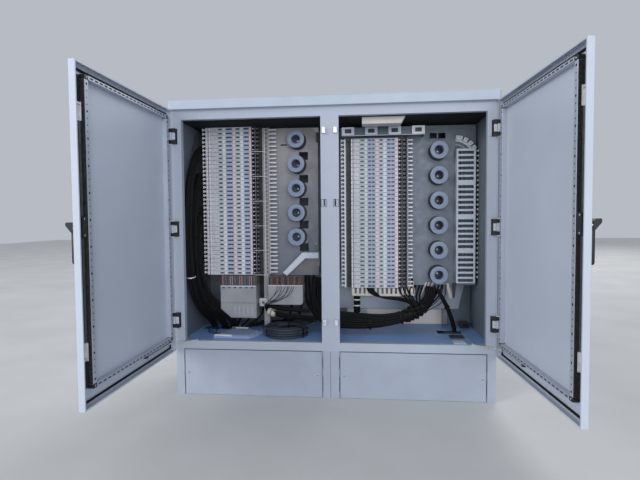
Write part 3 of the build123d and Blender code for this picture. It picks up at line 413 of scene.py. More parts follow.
def rounded(x0, x1, y0, y1, radius, steps=4):
    """The outline of a rectangle with round corners."""
    outline = []
    for cx, cy, start in ((x1 - radius, y1 - radius, 0), (x0 + radius, y1 - radius, 90),
                          (x0 + radius, y0 + radius, 180), (x1 - radius, y0 + radius, 270)):
        for step in range(steps + 1):
            angle = math.radians(start + 90 * step / steps)
            outline.append((cx + radius * math.cos(angle), cy + radius * math.sin(angle)))
    return outline


def ring_faces(rings, count, closed=False):
    """Quads between rings of count points; closed joins the last ring to the first."""
    faces = []
    for ring in range(rings if closed else rings - 1):
        here, after = ring * count, (ring + 1) % rings * count
        for i in range(count):
            j = (i + 1) % count
            faces.append([here + i, here + j, after + j, after + i])
    return faces


def chamfered_faces():
    """A box's faces over three points a corner: six sides, twelve chamfers and eight corners."""
    sides = []
    edges = []
    for axis in range(3):
        a, b = (axis + 1) % 3, (axis + 2) % 3
        for sign in (0, 1):
            around = ((0, 0), (1, 0), (1, 1), (0, 1))
            sides.append([3 * ((sign << axis) | (pa << a) | (pb << b)) + axis for pa, pb in around])
        for pa in (0, 1):
            for pb in (0, 1):
                first = (pa << a) | (pb << b)
                second = first | (1 << axis)
                edges.append([3 * first + a, 3 * first + b, 3 * second + b, 3 * second + a])
    return sides + edges + [[3 * corner, 3 * corner + 1, 3 * corner + 2] for corner in range(8)]


CHAMFERED_FACES = chamfered_faces()
PLAIN_FACES = [[0, 1, 3, 2], [4, 5, 7, 6], [0, 1, 5, 4], [2, 3, 7, 6], [0, 2, 6, 4], [1, 3, 7, 5]]


class Kit:
    """Gathers small solids, given in millimetres, into one mesh piece."""

    def __init__(self, place=None):
        self.verts = []
        self.faces = []
        self.slots = []
        self.materials = []
        self.place = place or Matrix.Identity(4)

    def add(self, points, faces, material):
        base = len(self.verts)
        if material not in self.materials:
            self.materials.append(material)
        self.verts += [self.place @ Vector(p) for p in points]
        self.faces += [[base + i for i in face] for face in faces]
        self.slots += [self.materials.index(material)] * len(faces)

    def box(self, x0, x1, y0, y1, z0, z1, material, bevel=0.0):
        low = (min(x0, x1), min(y0, y1), min(z0, z1))
        high = (max(x0, x1), max(y0, y1), max(z0, z1))
        points = []
        for c in range(8):
            corner = [high[i] if c >> i & 1 else low[i] for i in range(3)]
            if not bevel:
                points.append(corner)
                continue
            inset = [high[i] - bevel if c >> i & 1 else low[i] + bevel for i in range(3)]
            for out in range(3):
                points.append([corner[i] if i == out else inset[i] for i in range(3)])
        self.add(points, CHAMFERED_FACES if bevel else PLAIN_FACES, material)

    def boxes(self, material, bevel, *spans):
        for span in spans:
            self.box(*span, material, bevel)

    def prism(self, outline, frame, depth, material, bevel=0.0):
        """An outline in the frame's x and y, pushed along its z, with both rims chamfered."""
        count = len(outline)
        middle = [sum(p[i] for p in outline) / count for i in (0, 1)]
        rings = [(0.0, 0.0), (depth, 0.0)]
        if bevel:
            rings = [(0.0, bevel), (bevel, 0.0), (depth - bevel, 0.0), (depth, bevel)]
        points = []
        for z, inset in rings:
            for x, y in outline:
                away = Vector((x - middle[0], y - middle[1]))
                shrink = 1 - inset / max(away.length, 0.01)
                points.append(frame @ Vector((middle[0] + away.x * shrink, middle[1] + away.y * shrink, z)))
        caps = [list(range(count)), list(range(len(points) - count, len(points)))]
        self.add(points, caps + ring_faces(len(rings), count), material)

    def turned(self, profile, frame, material, segments=32, closed=False):
        """A profile of (radius, height) turned about the frame's z; closed joins its two ends."""
        points = []
        for radius, height in profile:
            for i in range(segments):
                angle = 2 * math.pi * i / segments
                points.append(frame @ Vector((radius * math.cos(angle), radius * math.sin(angle), height)))
        faces = ring_faces(len(profile), segments, closed)
        if not closed:
            faces += [list(range(segments)), list(range(len(points) - segments, len(points)))]
        self.add(points, faces, material)

    def loop(self, rings, frame, material):
        """A closed section made by rings of (x, y) points at their depths."""
        points = [frame @ Vector((x, y, depth)) for outline, depth in rings for x, y in outline]
        self.add(points, ring_faces(len(rings), len(rings[0][0]), True), material)

    def screw(self, frame, radius, recess="hole"):
        """A pan-head screw that stands along the frame's z, with a cross recess painted dark as painted
        shade.
        """
        height = radius * 0.55
        head = [(radius, -0.3), (radius, height * 0.4), (radius * 0.8, height * 0.85), (radius * 0.4, height)]
        self.turned(head, frame, "zinc", 16)
        for turn in (0, math.pi / 2):
            cross = frame @ Matrix.Rotation(turn, 4, "Z") @ at(0, 0, height - 0.25)
            self.prism(oblong(height, 0.18 * radius), cross, 0.4, recess)

    def piece(self, name, body="cabinet", replaces=None, slot=None, smooth=35):
        mesh = bpy.data.meshes.new(name)
        mesh.from_pydata([v / 1000 for v in self.verts], [], self.faces)
        for material in self.materials:
            mesh.materials.append(M[material])
        mesh.polygons.foreach_set("material_index", self.slots)
        work = bmesh.new()
        work.from_mesh(mesh)
        bmesh.ops.recalc_face_normals(work, faces=work.faces)
        work.to_mesh(mesh)
        work.free()
        mesh.polygons.foreach_set("use_smooth", [True] * len(mesh.polygons))
        mesh.set_sharp_from_angle(angle=math.radians(smooth))
        piece = bpy.data.objects.new(name, mesh)
        bpy.context.collection.objects.link(piece)
        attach(piece, body)
        if replaces:
            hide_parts(replaces)
        return piece


# Terminal columns: bands of (start, end, kind, material) across a module

LEFT_BANDS = (
    (0, 26, "tick", "white"), (27, 66, "ribs", "lilac"), (67, 90, "bars", "green_white"),
    (92, 109, "flat", "white"), (110, 146, "bars", "blue"), (148, 164, "flat", "pink"),
    (165, 189, "bars", "green_white"), (191, 208, "flat", "white"), (209, 240, "bars", "blue"),
    (241, 252, "flat", "pink"),
)
RIGHT_BANDS = (
    (0, 19, "tick", "white"), (20, 46, "ribs", "white"), (47, 72, "bars", "green_white"),
    (73, 88, "flat", "green_white"), (89, 109, "bars", "blue"), (110, 129, "bars", "blue"),
    (130, 149, "flat", "pink"), (151, 171, "bars", "green_white"), (172, 191, "flat", "green_white"),
    (192, 213, "bars", "blue"), (214, 234, "bars", "blue"), (235, 252, "flat", "pink"),
)
LEFT_TOP = 1404
RIGHT_TOP = 1331
# (side, left edge, front, top, bands)
COLUMNS = (("left", -697, -36, LEFT_TOP, LEFT_BANDS), ("right", 96, -4, RIGHT_TOP, RIGHT_BANDS))
SLOT_PITCH = 8


def row_heights(top):
    return [top - (row + 0.5) * ROW for row in range(COUNT)]


def terminal_row(kit, x0, front, z, bands):
    """One module: a body with its caps, contact slots and coloured strips."""
    back = front + 10
    kit.box(x0, x0 + MODULE_WIDTH, front + 8, front + 44, z - 11.1, z + 11.1, "white", 0.8)
    for a, b, kind, material in bands:
        a, b = x0 + a, x0 + b
        count = int((b - a) // SLOT_PITCH)
        if kind == "flat":
            kit.box(a, b, front + 1.2, back, z - 9.6, z + 9.6, material, 1.0)
        elif kind == "ribs":
            kit.box(a, b, front + 4, back, z - 9.8, z + 9.8, "box", 0.6)
            kit.boxes(material, 0.8, (a, b, front + 1.5, back, z + 6.4, z + 9.8),
                      (a, b, front + 1.5, back, z - 9.8, z - 6.4))
            for i in range(count):
                x = a + (i + 0.5) * (b - a) / count
                kit.box(x - 2.3, x + 2.3, front + 0.6, front + 5, z - 7, z + 7, material, 0.6)
        elif kind == "tick":
            kit.boxes(material, 1.2, (a, a + 9, front, back, z - 9.4, z + 9.4),
                      (a + 13, b, front, back, z - 9.4, z + 9.4))
            # Painted shade: a dark fill in the gap between the tick blocks.
            kit.box(a + 8, a + 14, front + 3, back, z - 9.4, z + 9.4, "dark")
        else:
            kit.boxes(material, 0.8, (a, b, front + 1.5, back, z + 4.8, z + 9.6),
                      (a, b, front + 1.5, back, z - 9.6, z - 4.8))
            # Painted shade: a dark fill in the recess behind the contacts, and dark dividers between them.
            kit.box(a + 0.5, b - 0.5, front + 7, back, z - 5, z + 5, "dark")
            span = b - a - 1.6
            for i in range(count + 1):
                x = a + 0.8 + i * span / count
                colour = material if i in (0, count) else "dark"
                kit.box(x - 0.7, x + 0.7, front + 3, front + 8, z - 5, z + 5, colour)
            for i in range(count):
                x = a + 0.8 + (i + 0.5) * span / count
                kit.box(x - 0.4, x + 0.4, front + 4.5, front + 8, z - 3.5, z + 3.5, "contact")


def terminal_columns():
    for side, x0, front, top, bands in COLUMNS:
        kit = Kit()
        for z in row_heights(top):
            terminal_row(kit, x0, front, z, bands)
        kit.piece(side + "_terminals", replaces=side + "_terminal_modules")


# (start, end, near, far, half height, material, bevel) across a ladder, from a module's right edge
LADDER = (
    (4, 10, -1, 6, 3.0, "white", 0.8), (10, 20, 0, 3, 1.1, "comb_grey", 0.4), (6, 14, 8, 22, 6, "black", 1),
    (26, 42, 5, 22, 8.5, "black", 1.2), (27, 33, 3, 6, 1.6, "comb_grey", 0.5),
)


def carriers():
    """The dark carriers with their ladders, and the rail beside the left one."""
    kit = Kit()
    for side, x0, front, top, _ in COLUMNS:
        low = top - COUNT * ROW
        edge = x0 + MODULE_WIDTH
        ladder = front + 8
        back = front + 44
        kit.box(x0, edge + 48, back, PLATE_Y, low, top, "black", 1)
        kit.box(x0 - 26, x0, PLATE_Y - 5, PLATE_Y, low, top - 6, "black", 1)
        for x, width in ((1, 4), (22, 3), (43, 4)):
            kit.box(edge + x, edge + x + width, ladder, back, low, top, "black", 0.8)
        kit.box(edge + 19.5, edge + 21, ladder - 1, ladder + 4, low, top, "comb_grey", 0.4)
        for row, z in enumerate(row_heights(top)):
            for start, end, near, far, half, material, bevel in LADDER:
                kit.box(edge + start, edge + end, ladder + near, ladder + far, z - half, z + half,
                        material, bevel)
            if row % 6 == 5 and side == "left":
                kit.box(edge + 4, edge + 82, ladder - 2, ladder + 1, z - 12.4, z - 10.0, "white", 0.6)
        if side == "left":
            for x, width, depth in ((48, 34, 2), (48, 2, 30), (80, 2, 30)):
                kit.box(edge + x, edge + x + width, 20, 20 + depth, FLOOR_Z, top, "post", 0.5)
            for x, width, colour in ((49, 2.5, "post"), (60, 4.0, "white"), (77, 3.0, "cream")):
                kit.box(edge + x, edge + x + width, 15, 20, low, top, colour, 0.6)
            for z in row_heights(top):
                kit.box(edge + 50, edge + 60, 16.5, 20, z - 0.9, z + 0.9, "box", 0.3)
                kit.box(edge + 65, edge + 76, 17.5, 20, z - 6.5, z + 6.5, "cream_dark", 0.6)
    kit.piece("carriers", replaces="column_carriers")


def finger(kit, x0, x1, front, z, lift):
    """One guide finger with a rounded tip, lifted a little over its root or under it."""
    depth = 16
    half = 4.3
    neck = half * 0.7
    away = half if x1 > x0 else -half
    outline = [(x0, -neck), (x1 - away, -half + lift), (x1 - away * 0.3, -neck + lift), (x1, lift),
               (x1 - away * 0.3, neck + lift), (x1 - away, half + lift), (x0, neck)]
    kit.prism(outline, at(0, 0, z) @ upright(front + depth), depth, "white", 0.8)


def combs():
    """White combs: zig-zag ears at the left of each column, rounded fingers at its right."""
    kit = Kit()
    for x, top, front in ((-698, LEFT_TOP, -22), (66, RIGHT_TOP, 10)):
        kit.box(x - 8, x, front + 1, PLATE_Y, top - COUNT * ROW, top, "white", 1)
        for z in row_heights(top):
            finger(kit, x - 6, x - 26, front, z, 4.5)
            kit.box(x - 25.5, x - 20, front + 1, front + 13, z - 6.5, z + 2, "white", 1)
    for x, top, reach in ((-363, LEFT_TOP, 48), (396, RIGHT_TOP, 32)):
        kit.box(x, x + 8, PLATE_Y - 33, PLATE_Y, top - COUNT * ROW, top, "comb_grey", 1)
        for row, z in enumerate(row_heights(top)):
            finger(kit, x + 6, x + reach, PLATE_Y - 34, z, 0.8 if row % 2 else -0.8)
            kit.box(x + reach - 16, x + reach - 9, PLATE_Y - 20, PLATE_Y, z - 3.2, z + 3.2, "white", 0.8)
    kit.piece("combs", replaces="wire_combs")


SPOOL_PITCH = 132.5
SPOOL_DEPTH = 82
# (x, height of the top one, how many)
SPOOLS = ((-202, 1332, 5), (561, 1258, 6))
SPOOL_PROFILE = (
    (23.5, 3), (25.5, 0.9), (28.5, 0.1), (33, 0), (34, 1.0), (43, 1.0), (45.6, 1.6), (47.2, 3.4), (47.5, 5.5),
    (46.8, 7.6), (44.5, 8.9), (41, 9.6), (38.8, 12), (38, 16), (37.6, 46), (38, 78), (38, 82), (23.5, 82),
)
# The back flange is near-black: painted shade, for the dark crescent beside each spool.
BACK_FLANGE = ((38.1, 66), (48.4, 67.5), (49.4, 70), (49.4, 79), (48.4, 82), (38.1, 82))


def spools():
    """Guide spools: moulded rings with rolled flanges, a stepped bore and a fixing screw; the back flange and
    the bore's floor are painted near-black as painted shade.
    """
    kit = Kit()
    front = PLATE_Y - SPOOL_DEPTH
    for x, top, count in SPOOLS:
        for i in range(count):
            z = top - i * SPOOL_PITCH
            frame = facing(x, front, z, TO_BACK)
            kit.turned(SPOOL_PROFILE, frame, "spool", 48, closed=True)
            kit.turned(BACK_FLANGE, frame, "spool_painted_shade", 48, closed=True)
            # Painted shade: a dark disc at the bottom of the bore.
            kit.turned([(23.4, 79), (23.4, 81.5), (1, 81.6), (1, 79)], frame, "dark", 32)
            kit.screw(facing(x, PLATE_Y - 3, z, TO_FRONT), 5.5, "dark")
            for k in range(4):
                angle = math.pi / 4 + k * math.pi / 2
                dimple = facing(x + 30.8 * math.cos(angle), front, z + 30.8 * math.sin(angle), TO_FRONT)
                kit.turned([(1.6, 0), (1.6, 0.3), (0.5, 0.4)], dimple, "dark", 10)
    kit.piece("spools", replaces="guide_spools")


RING_X = (83, 205, 327, 449)
RING_Z = 1360


def ring_bar():
    """Square guide rings with rounded windows on a folded bar, with its brackets and three dark panels
    between the rings; the bar's dark tone, the panels and black fills in the windows are painted shade.
    """
    kit = Kit()
    for x in RING_X:
        outer = rounded(x - 33, x + 33, RING_Z - 21, RING_Z + 21, 3, 3)
        inner = rounded(x - 17, x + 17, RING_Z - 11, RING_Z + 11, 3, 3)
        rings = []
        for outline, scale, depth in ((outer, 1, 0), (outer, 1, 7), (outer, 0.965, 8), (inner, 1.08, 8),
                                      (inner, 1, 7), (inner, 1, 0)):
            scaled = [(x + (px - x) * scale, RING_Z + (pz - RING_Z) * scale) for px, pz in outline]
            rings.append((scaled, depth))
        kit.loop(rings, upright(-52), "cover_white" if x == RING_X[-1] else "paint_inner_painted_light")
        # Painted shade: a black sheet fills each window, for the shade behind the rings.
        kit.box(x - 19, x + 19, -51.5, -50.5, 1347, 1373, "black", 0.3)
    kit.box(48, 484, -50, -46, 1337.5, 1362, "bar_painted_shade", 0.6)
    kit.box(48, 484, -53.5, -46, 1336, 1338.6, "tube", 0.6)
    for x in (48, 478):
        kit.box(x, x + 6, -48, PLATE_Y, 1336, 1358, "bar_painted_shade", 0.8)
    # Painted shade: dark panels between the rings.
    for x in (144, 266, 388):
        kit.box(x - 24, x + 24, -51, -49, 1362, 1379, "bar_painted_shade", 0.6)
    kit.piece("rings", replaces="guide_rings")


# Cables

LEFT_TRUNKS = (
    ((-745, 0, 1290), (-751, -182, 1180), (-751, -186, 560), (-716, -80, 400), (-690, 40, 320),
     (-688, 60, 257)),
    ((-745, 0, 1150), (-749, -122, 1040), (-749, -126, 560), (-680, -40, 390), (-632, 45, 320),
     (-630, 64, 257)),
    ((-745, 0, 960), (-747, -62, 850), (-747, -66, 560), (-640, 5, 385), (-577, 50, 320), (-575, 68, 257)),
)
RIGHT_TRUNK = ((-96, 2, 575), (-104, -8, 450), (-62, -45, 352), (40, -70, 343), (220, -70, 342),
               (370, -62, 376), (470, -42, 420), (516, -4, 468), (522, 10, 524))
BRANCH = ((-380, 9, 420), (-335, -22, 410), (-200, -34, 402), (-140, -26, 396))
RISER = ((560, 6, 512), (588, -6, 462), (612, -4, 412), (634, 0, 350), (650, 8, 290), (652, 12, 257))
BRANCHES = (
    ((-388, 12, 412), (-340, -26, 388), (-240, -42, 374), (-160, -48, 370), (-92, -46, 362)),
    ((-386, 20, 398), (-330, -14, 372), (-230, -26, 358), (-150, -34, 352), (-92, -40, 352)),
    ((-150, 72, 640), (-146, 66, 560), (-140, 20, 470), (-128, -4, 400), (-96, -34, 366)),
    ((-118, 74, 640), (-122, 68, 560), (-118, 26, 480), (-112, 4, 410), (-88, -30, 372)),
    ((-176, 80, 640), (-170, 78, 560), (-166, 50, 480), (-150, 20, 420), (-108, -10, 382)),
)
UPPER_TRUNK = ((-104, -12, 560), (-100, -34, 430), (-62, -52, 388), (40, -66, 387), (180, -67, 374),
               (300, -66, 372), (400, -58, 398))
FAN_TOPS = ((402, 42), (426, 42), (446, 64), (468, 62), (486, 66), (534, 64), (552, 60), (572, 66), (590, 62))
LEFT_SPRAY = (
    ((-620, 120, 600), (-628, 120, 470), (-650, 96, 350), (-652, 84, 262)),
    ((-590, 150, 600), (-596, 150, 450), (-610, 130, 340), (-606, 90, 262)),
    ((-530, 170, 600), (-520, 170, 440), (-560, 140, 330), (-584, 92, 262)),
    ((-470, 140, 600), (-450, 150, 430), (-500, 130, 318), (-566, 90, 262)),
    ((-420, 120, 600), (-404, 130, 420), (-450, 110, 310), (-552, 80, 262)),
    ((-330, 110, 600), (-320, 110, 450), (-360, 80, 330), (-470, 70, 300), (-548, 66, 262)),
    ((-260, 120, 600), (-250, 120, 440), (-260, 96, 340), (-330, 130, 296), (-420, 120, 300),
     (-550, 70, 262)),
    ((-200, 130, 600), (-196, 130, 430), (-204, 110, 350), (-260, 150, 300), (-400, 160, 300),
     (-556, 78, 262)),
)
ARC_WIRES = (
    ((474, -50, 397), (520, -52, 420), (572, -30, 446), (599, 6, 480), (606, 22, 540)),
    ((478, -52, 404), (516, -54, 434), (556, -34, 462), (580, -4, 492), (588, 18, 540)),
)


def smooth_curve(name, places, steps):
    """A curve object with one smooth spline along some places."""
    data = bpy.data.curves.new(name, "CURVE")
    data.dimensions = "3D"
    data.resolution_u = steps
    spline = data.splines.new("NURBS")
    spline.points.add(len(places) - 1)
    for point, place in zip(spline.points, places):
        point.co = (*place, 1)
    spline.order_u = 3
    spline.use_endpoint_u = True
    curve = bpy.data.objects.new(name, data)
    bpy.context.collection.objects.link(curve)
    return curve


def spline_points(route, steps=10):
    """Points along the smooth spline of a route."""
    curve = smooth_curve("route", route, steps)
    data = curve.data
    mesh = bpy.data.meshes.new_from_object(curve)
    points = [v.co.copy() for v in mesh.vertices]
    bpy.data.objects.remove(curve)
    bpy.data.curves.remove(data)
    bpy.data.meshes.remove(mesh)
    return points


def crosswise(normal, before, after):
    """A stretch of line's direction, and two directions across it that follow on from the last normal."""
    along = (after - before).normalized()
    normal = (normal - along * normal.dot(along)).normalized()
    return along, normal, along.cross(normal)


FIRST_NORMAL = Vector((0, 1, 0.2)).normalized()


def packed(rings, pitch):
    """Offsets of cables packed round one in the middle."""
    offsets = [(0.0, 0.0)]
    for ring in range(1, rings + 1):
        for i in range(6 * ring):
            offsets.append((pitch * ring * 0.96, 2 * math.pi * i / (6 * ring) + 0.3 * ring))
    return offsets


def bundle(route, offsets, twist, loose=0.0):
    """Strands along the smooth line of a route; twist is in turns a metre, loose lets them wander."""
    points = spline_points(route)
    normal = FIRST_NORMAL
    travelled = 0.0
    lines = [[] for _ in offsets]
    drift = [(random.uniform(0, 6.28), random.uniform(0.006, 0.012)) for _ in offsets]
    for i, here in enumerate(points):
        before = points[max(i - 1, 0)]
        _, normal, other = crosswise(normal, before, points[min(i + 1, len(points) - 1)])
        travelled += (here - before).length
        for line, (radius, angle), (phase, rate) in zip(lines, offsets, drift):
            turn = angle + twist * travelled / 1000 * 2 * math.pi
            reach = radius + loose * math.sin(phase + rate * travelled)
            line.append(here + (normal * math.cos(turn) + other * math.sin(turn)) * reach)
    return lines


def tubes(name, lines, diameter, material, **marks):
    """Round tubes with rounded ends along dense lines, as one mesh."""
    sides = 8 if diameter > 8 else 6
    kit = Kit()
    for line in lines:
        points = []
        normal = FIRST_NORMAL
        last = len(line) - 1
        rows = [(0, 0.55, -0.35)] + [(i, 1.0, 0.0) for i in range(last + 1)] + [(last, 0.55, 0.35)]
        for i, swell, push in rows:
            along, normal, other = crosswise(normal, line[max(i - 1, 0)], line[min(i + 1, last)])
            radius = diameter / 2 * swell
            for side in range(sides):
                turn = 2 * math.pi * side / sides
                points.append(line[i] + along * (push * diameter)
                              + (normal * math.cos(turn) + other * math.sin(turn)) * radius)
        caps = [list(range(sides)), list(range(len(points) - sides, len(points)))]
        kit.add(points, caps + ring_faces(len(rows), sides), material)
    kit.piece(name, smooth=60, **marks)


def strap(kit, route, axis, value, radius, material, width=7, thick=1.6):
    """A cable tie round a bundle, where its line comes nearest to a height or an x, with its locking head."""
    points = spline_points(route)
    i = min(range(len(points) - 1), key=lambda k: abs(points[k][axis] - value))
    frame = facing(*points[i], points[i + 1] - points[i])
    half = width / 2
    kit.turned([(radius, -half), (radius + thick, -half), (radius + thick, half), (radius, half)], frame,
               material, 28, closed=True)
    head = frame @ Matrix.Rotation(-2.2, 4, "Z") @ at(radius + thick + 1, 0, 0)
    kit.prism(oblong(3, 5), head @ at(0, 0, -half - 0.5), width + 1, material, 0.8)


def cables():
    """The trunks down the left side and along the bottom, with their branch, riser and ties."""
    lines = []
    for route in LEFT_TRUNKS:
        lines += bundle(route, packed(1, 12.2) + [(17.0, 0.9), (17.0, 2.9), (17.0, 4.6)], 0.2, 1.0)
    tubes("left_cables", lines, 10.8, "cable", replaces="left_cable_bundle")
    lines = bundle(RIGHT_TRUNK, packed(2, 12.4), 0.12, 0.5)
    for route in (BRANCH, RISER):
        lines += bundle(route, [(6.6, 0.5), (6.6, 2.6), (6.6, 4.7)], 0.3)
    tubes("right_cables", lines, 12.0, "cable", replaces="right_cable_bundle")
    kit = Kit()
    strap(kit, LEFT_TRUNKS[0], Z, 592, 22.5, "white", 5)
    for route, height in zip(LEFT_TRUNKS, (980, 800, 700)):
        strap(kit, route, Z, height, 22.5, "cable")
    for x in (40, 190, 352, 372, 392, 410):
        strap(kit, RIGHT_TRUNK, X, x, 31.0, "cable", 10, 2.2)
    strap(kit, RISER, Z, 420, 12.9, "cable", 6)
    kit.piece("cable_ties", slot="cable_black")


COIL_AT = (-252, -90)
COIL_D = 12.5
COIL_OUTER = 113.0
COIL_INNER = 59.0
COIL_TURNS = 5
COIL_STEPS = 14
COIL_HEIGHTS = (324.5, 311.8, 299.2, 286.6)
COIL_LEAD = ((-92, -47, 352), (-104, -36, 348), (-122, -22, 336), (-140, -6, 326))


def coil_points():
    """The spare length's line: out of the trunk, then wound in flat layers, inwards and outwards by turns."""
    step = 2 * math.pi / COIL_STEPS
    total = COIL_TURNS * COIL_STEPS
    points = [Vector(p) for p in COIL_LEAD]
    angle = math.radians(50)
    for layer, height in enumerate(COIL_HEIGHTS):
        start, end = (COIL_INNER, COIL_OUTER) if layer % 2 else (COIL_OUTER, COIL_INNER)
        for i in range(1 if layer else 0, total + 1):
            part = i / total
            radius = (start + (end - start) * part) / 0.975 + random.uniform(-0.12, 0.12)
            z = height
            if layer and i < 5:
                z += (COIL_HEIGHTS[layer - 1] - height) * (1 - i / 5)
            x, y = COIL_AT[0] + radius * math.cos(angle), COIL_AT[1] + radius * math.sin(angle)
            points.append(Vector((x, y, z)))
            angle += step
    return points


def spare_cable():
    """The coiled spare cable, with the cap on its end and three ties."""
    points = coil_points()
    curve = smooth_curve("spare_cable", [p / 1000 for p in points], 5)
    curve.data.bevel_depth = COIL_D / 2000
    curve.data.bevel_resolution = 2
    curve.data.use_fill_caps = True
    curve.data.materials.append(M["cable_grey"])
    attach(curve, "cabinet")
    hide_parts("cable_coil")
    kit = Kit()
    along = (points[-1] - points[-2]).normalized()
    kit.turned([(6.35, -14), (6.9, -13), (6.9, -2), (6.7, 3), (5.8, 6.5), (4.0, 8.6), (1.2, 9.4)],
               facing(*points[-1], along), "cable", 24)
    cap = kit.piece("spare_cable_cap", slot="cable_black")
    kit = Kit()
    outer = rounded(50.4, 123, 280.3, 334.5, 8)
    inner = rounded(51.8, 121.6, 281.7, 333.1, 7)
    for degrees in (85, 205, 325):
        frame = at(*COIL_AT, 0) @ Matrix.Rotation(math.radians(degrees), 4, "Z") @ upright(0) @ at(0, 0, -4)
        kit.loop([(outer, 0), (outer, 8), (inner, 8), (inner, 0)], frame, "cable")
    band = kit.piece("spare_cable_ties", slot="cable_black")


# Loose wires


def wires(name, routes, diameter, material="cable"):
    """Round wires, one along the spline of each route."""
    tubes(name, [spline_points(route, 6) for route in routes], diameter, material, slot="cable_black")


def bundle_routes(route, count, radius):
    """Routes that lie round one route, one a cable."""
    routes = []
    for k in range(count):
        angle = 2 * math.pi * k / count + 0.4
        reach = radius if k or count < 4 else 0
        across, rise = reach * math.cos(angle), reach * math.sin(angle)
        routes.append([(x + 0.2 * reach * math.cos(angle), y + across, z + rise) for x, y, z in route])
    return routes


def ear_wires():
    """Thin wires from the left column's ears into the trunks."""
    routes = []
    for row in range(0, COUNT, 2):
        z = LEFT_TOP - (row + 0.5) * ROW
        y = -12 + 18 * (row % 3)
        fall = 40 if z < 700 else 60 + 12 * (row % 5)
        routes.append(((-716, -14, z + 4), (-736, -10 + y * 0.3, z - 4), (-746, -40 + y, z - fall * 0.6),
                       (-747, -60 + y, z - fall), (-748, -90 + 2 * y, z - fall - 70)))
    wires("ear_wires", routes, 4.2, "wire_thin")


def jumper_wires():
    """Thin wires that hang across the second box into the clamp."""
    routes = []
    for x, drop, side in ((-214, 0, 0), (-226, 6, 3), (-240, 2, 8), (-249, 12, 2), (-262, 5, 12),
                          (-281, 14, 6), (-290, 3, 15), (-306, 16, 9)):
        routes.append(((x, -47, 541), (x - 4, -58 - side * 0.5, 518 - drop),
                       (x - 30 - side, -64 - side * 0.4, 476 - drop), (-352 - side, -54 + side, 446 - drop),
                       (-390 + side * 0.5, -20 + side, 430 - drop * 0.5)))
    wires("jumper_wires", routes, 2.4, "wire_thin")


def floor_wires():
    """Blue wires that come up through the floor on the left and lie on it."""
    routes = []
    for x, y, bend in ((-712, -34, 10), (-700, -62, 16), (-676, -24, -12), (-664, -70, 18), (-648, -40, -8)):
        routes.append(((x, 60, 262), (x + 4, 50, 290), (x - 6, y + 60, 287), (x + bend, y, 284),
                       (x + bend * 0.6 + 14, y - 50, 284), (-612, -96 + bend * 0.5, 284), (-586, -110, 284)))
    wires("floor_wires", routes, 4.4, "wire_blue")


def fan_wires():
    """Cables from the right trunk, fanned out behind the plate's lower edge and into the toothed lip."""
    routes = []
    for i, (x, y) in enumerate(FAN_TOPS):
        lean = (x - 500) * 0.22
        routes.append(((400 + 8 * i, -58 + 4 * (i % 3), 392 + 3 * (i % 4)),
                       (450 + lean + 3 * i, -48 + 3 * (i % 2), 424), (x - 26, 0, 474), (x - 8, y - 8, 508),
                       (x, y, 528), (x, y, 566)))
    wires("fan_wires", routes, 9.5)
    routes = []
    for i, x in enumerate((176, 186, 196, 206)):
        y = 12 + 7 * (i % 2)
        routes.append(((x, 8, 536), (x + 6, -2, 510), (x + 30, -4 + i, 488), (250 + 4 * i, y, 469 - 2 * i),
                       (330, y + 4, 467 - 4 * i), (396, y - 6, 462 - 5 * i), (436, -34, 436 - 4 * i)))
    for i, x in enumerate((348, 372, 392)):
        routes.append(((x, 10, 530), (x + 8, -4, 502), (x + 26, -10, 476), (436 + 4 * i, -36, 442)))
    wires("lip_wires", routes, 8.5)


def loose_wires():
    ear_wires()
    jumper_wires()
    floor_wires()
    fan_wires()
    wires("arc_wires", ARC_WIRES, 4.5)
    wires("upper_trunk", bundle_routes(UPPER_TRUNK, 7, 13), 12.0)
    for i, route in enumerate(BRANCHES):
        wires("branch_%d" % i, bundle_routes(route, 3, 7), 11.0)
    wires("left_spray", LEFT_SPRAY, 12.0)


# The rear of the right bay and the floor


def rear_panels():
    """Pale panels on the rear liner, low in the right bay, with the small blocks and posts by them."""
    kit = Kit()
    panel = [(18, 371), (705, 371), (738, 520), (738, 600), (18, 600)]
    kit.prism(panel, upright(LINER_Y), 2.5, "panel_blue", 0.5)
    kit.box(60, 640, 212, LINER_Y, 281, 368, "panel_cream", 1.5)
    kit.box(60, 640, 208, LINER_Y, 366, 371, "panel_blue", 1)
    kit.box(143, 178, 186, 214, 318, 372, "box", 2)
    kit.box(147, 174, 184, 187, 324, 366, "comb_grey", 1)
    kit.box(610, 633, 188, 214, 285, 371, "post", 2)
    kit.box(616, 627, 186, 189, 292, 364, "comb_grey", 1)
    kit.box(697, 744, 112, 160, 279.6, 314, "black", 3)
    kit.box(704, 737, 109, 113, 286, 308, "hole", 1)
    kit.prism([(604, 545), (622, 545), (642, 462), (628, 458)], upright(47), 5, "cream_light", 1)
    kit.prism([(640, 545), (664, 545), (656, 466), (644, 460)], upright(52), 4, "black", 1)
    for x0, x1 in ((404, 414), (486, 494), (502, 510), (522, 530)):
        tab = [(x0 + 12, 548), (x1 + 12, 548), (x1 - 18, 474), (x0 - 18, 470)]
        kit.prism(tab, upright(46), 4, "cream_light", 1)
    kit.piece("rear_panels", slot="cream_plastic")


def hanging_cables():
    """Four short cables that hang below the lip, banded three times."""
    kit = Kit()
    for x, y in ((112, 20), (124, 12), (124, 28), (136, 20)):
        kit.turned([(2, 352), (6, 354), (6.2, 420), (6, 476), (2, 478)], at(x, y, 0), "cable", 12)
    for z in (378, 420, 452):
        kit.turned([(19, z), (20.6, z), (20.6, z + 6), (19, z + 6)], at(124, 20, 0), "white", 24, closed=True)
    kit.piece("hanging_cables", slot="cable_black")


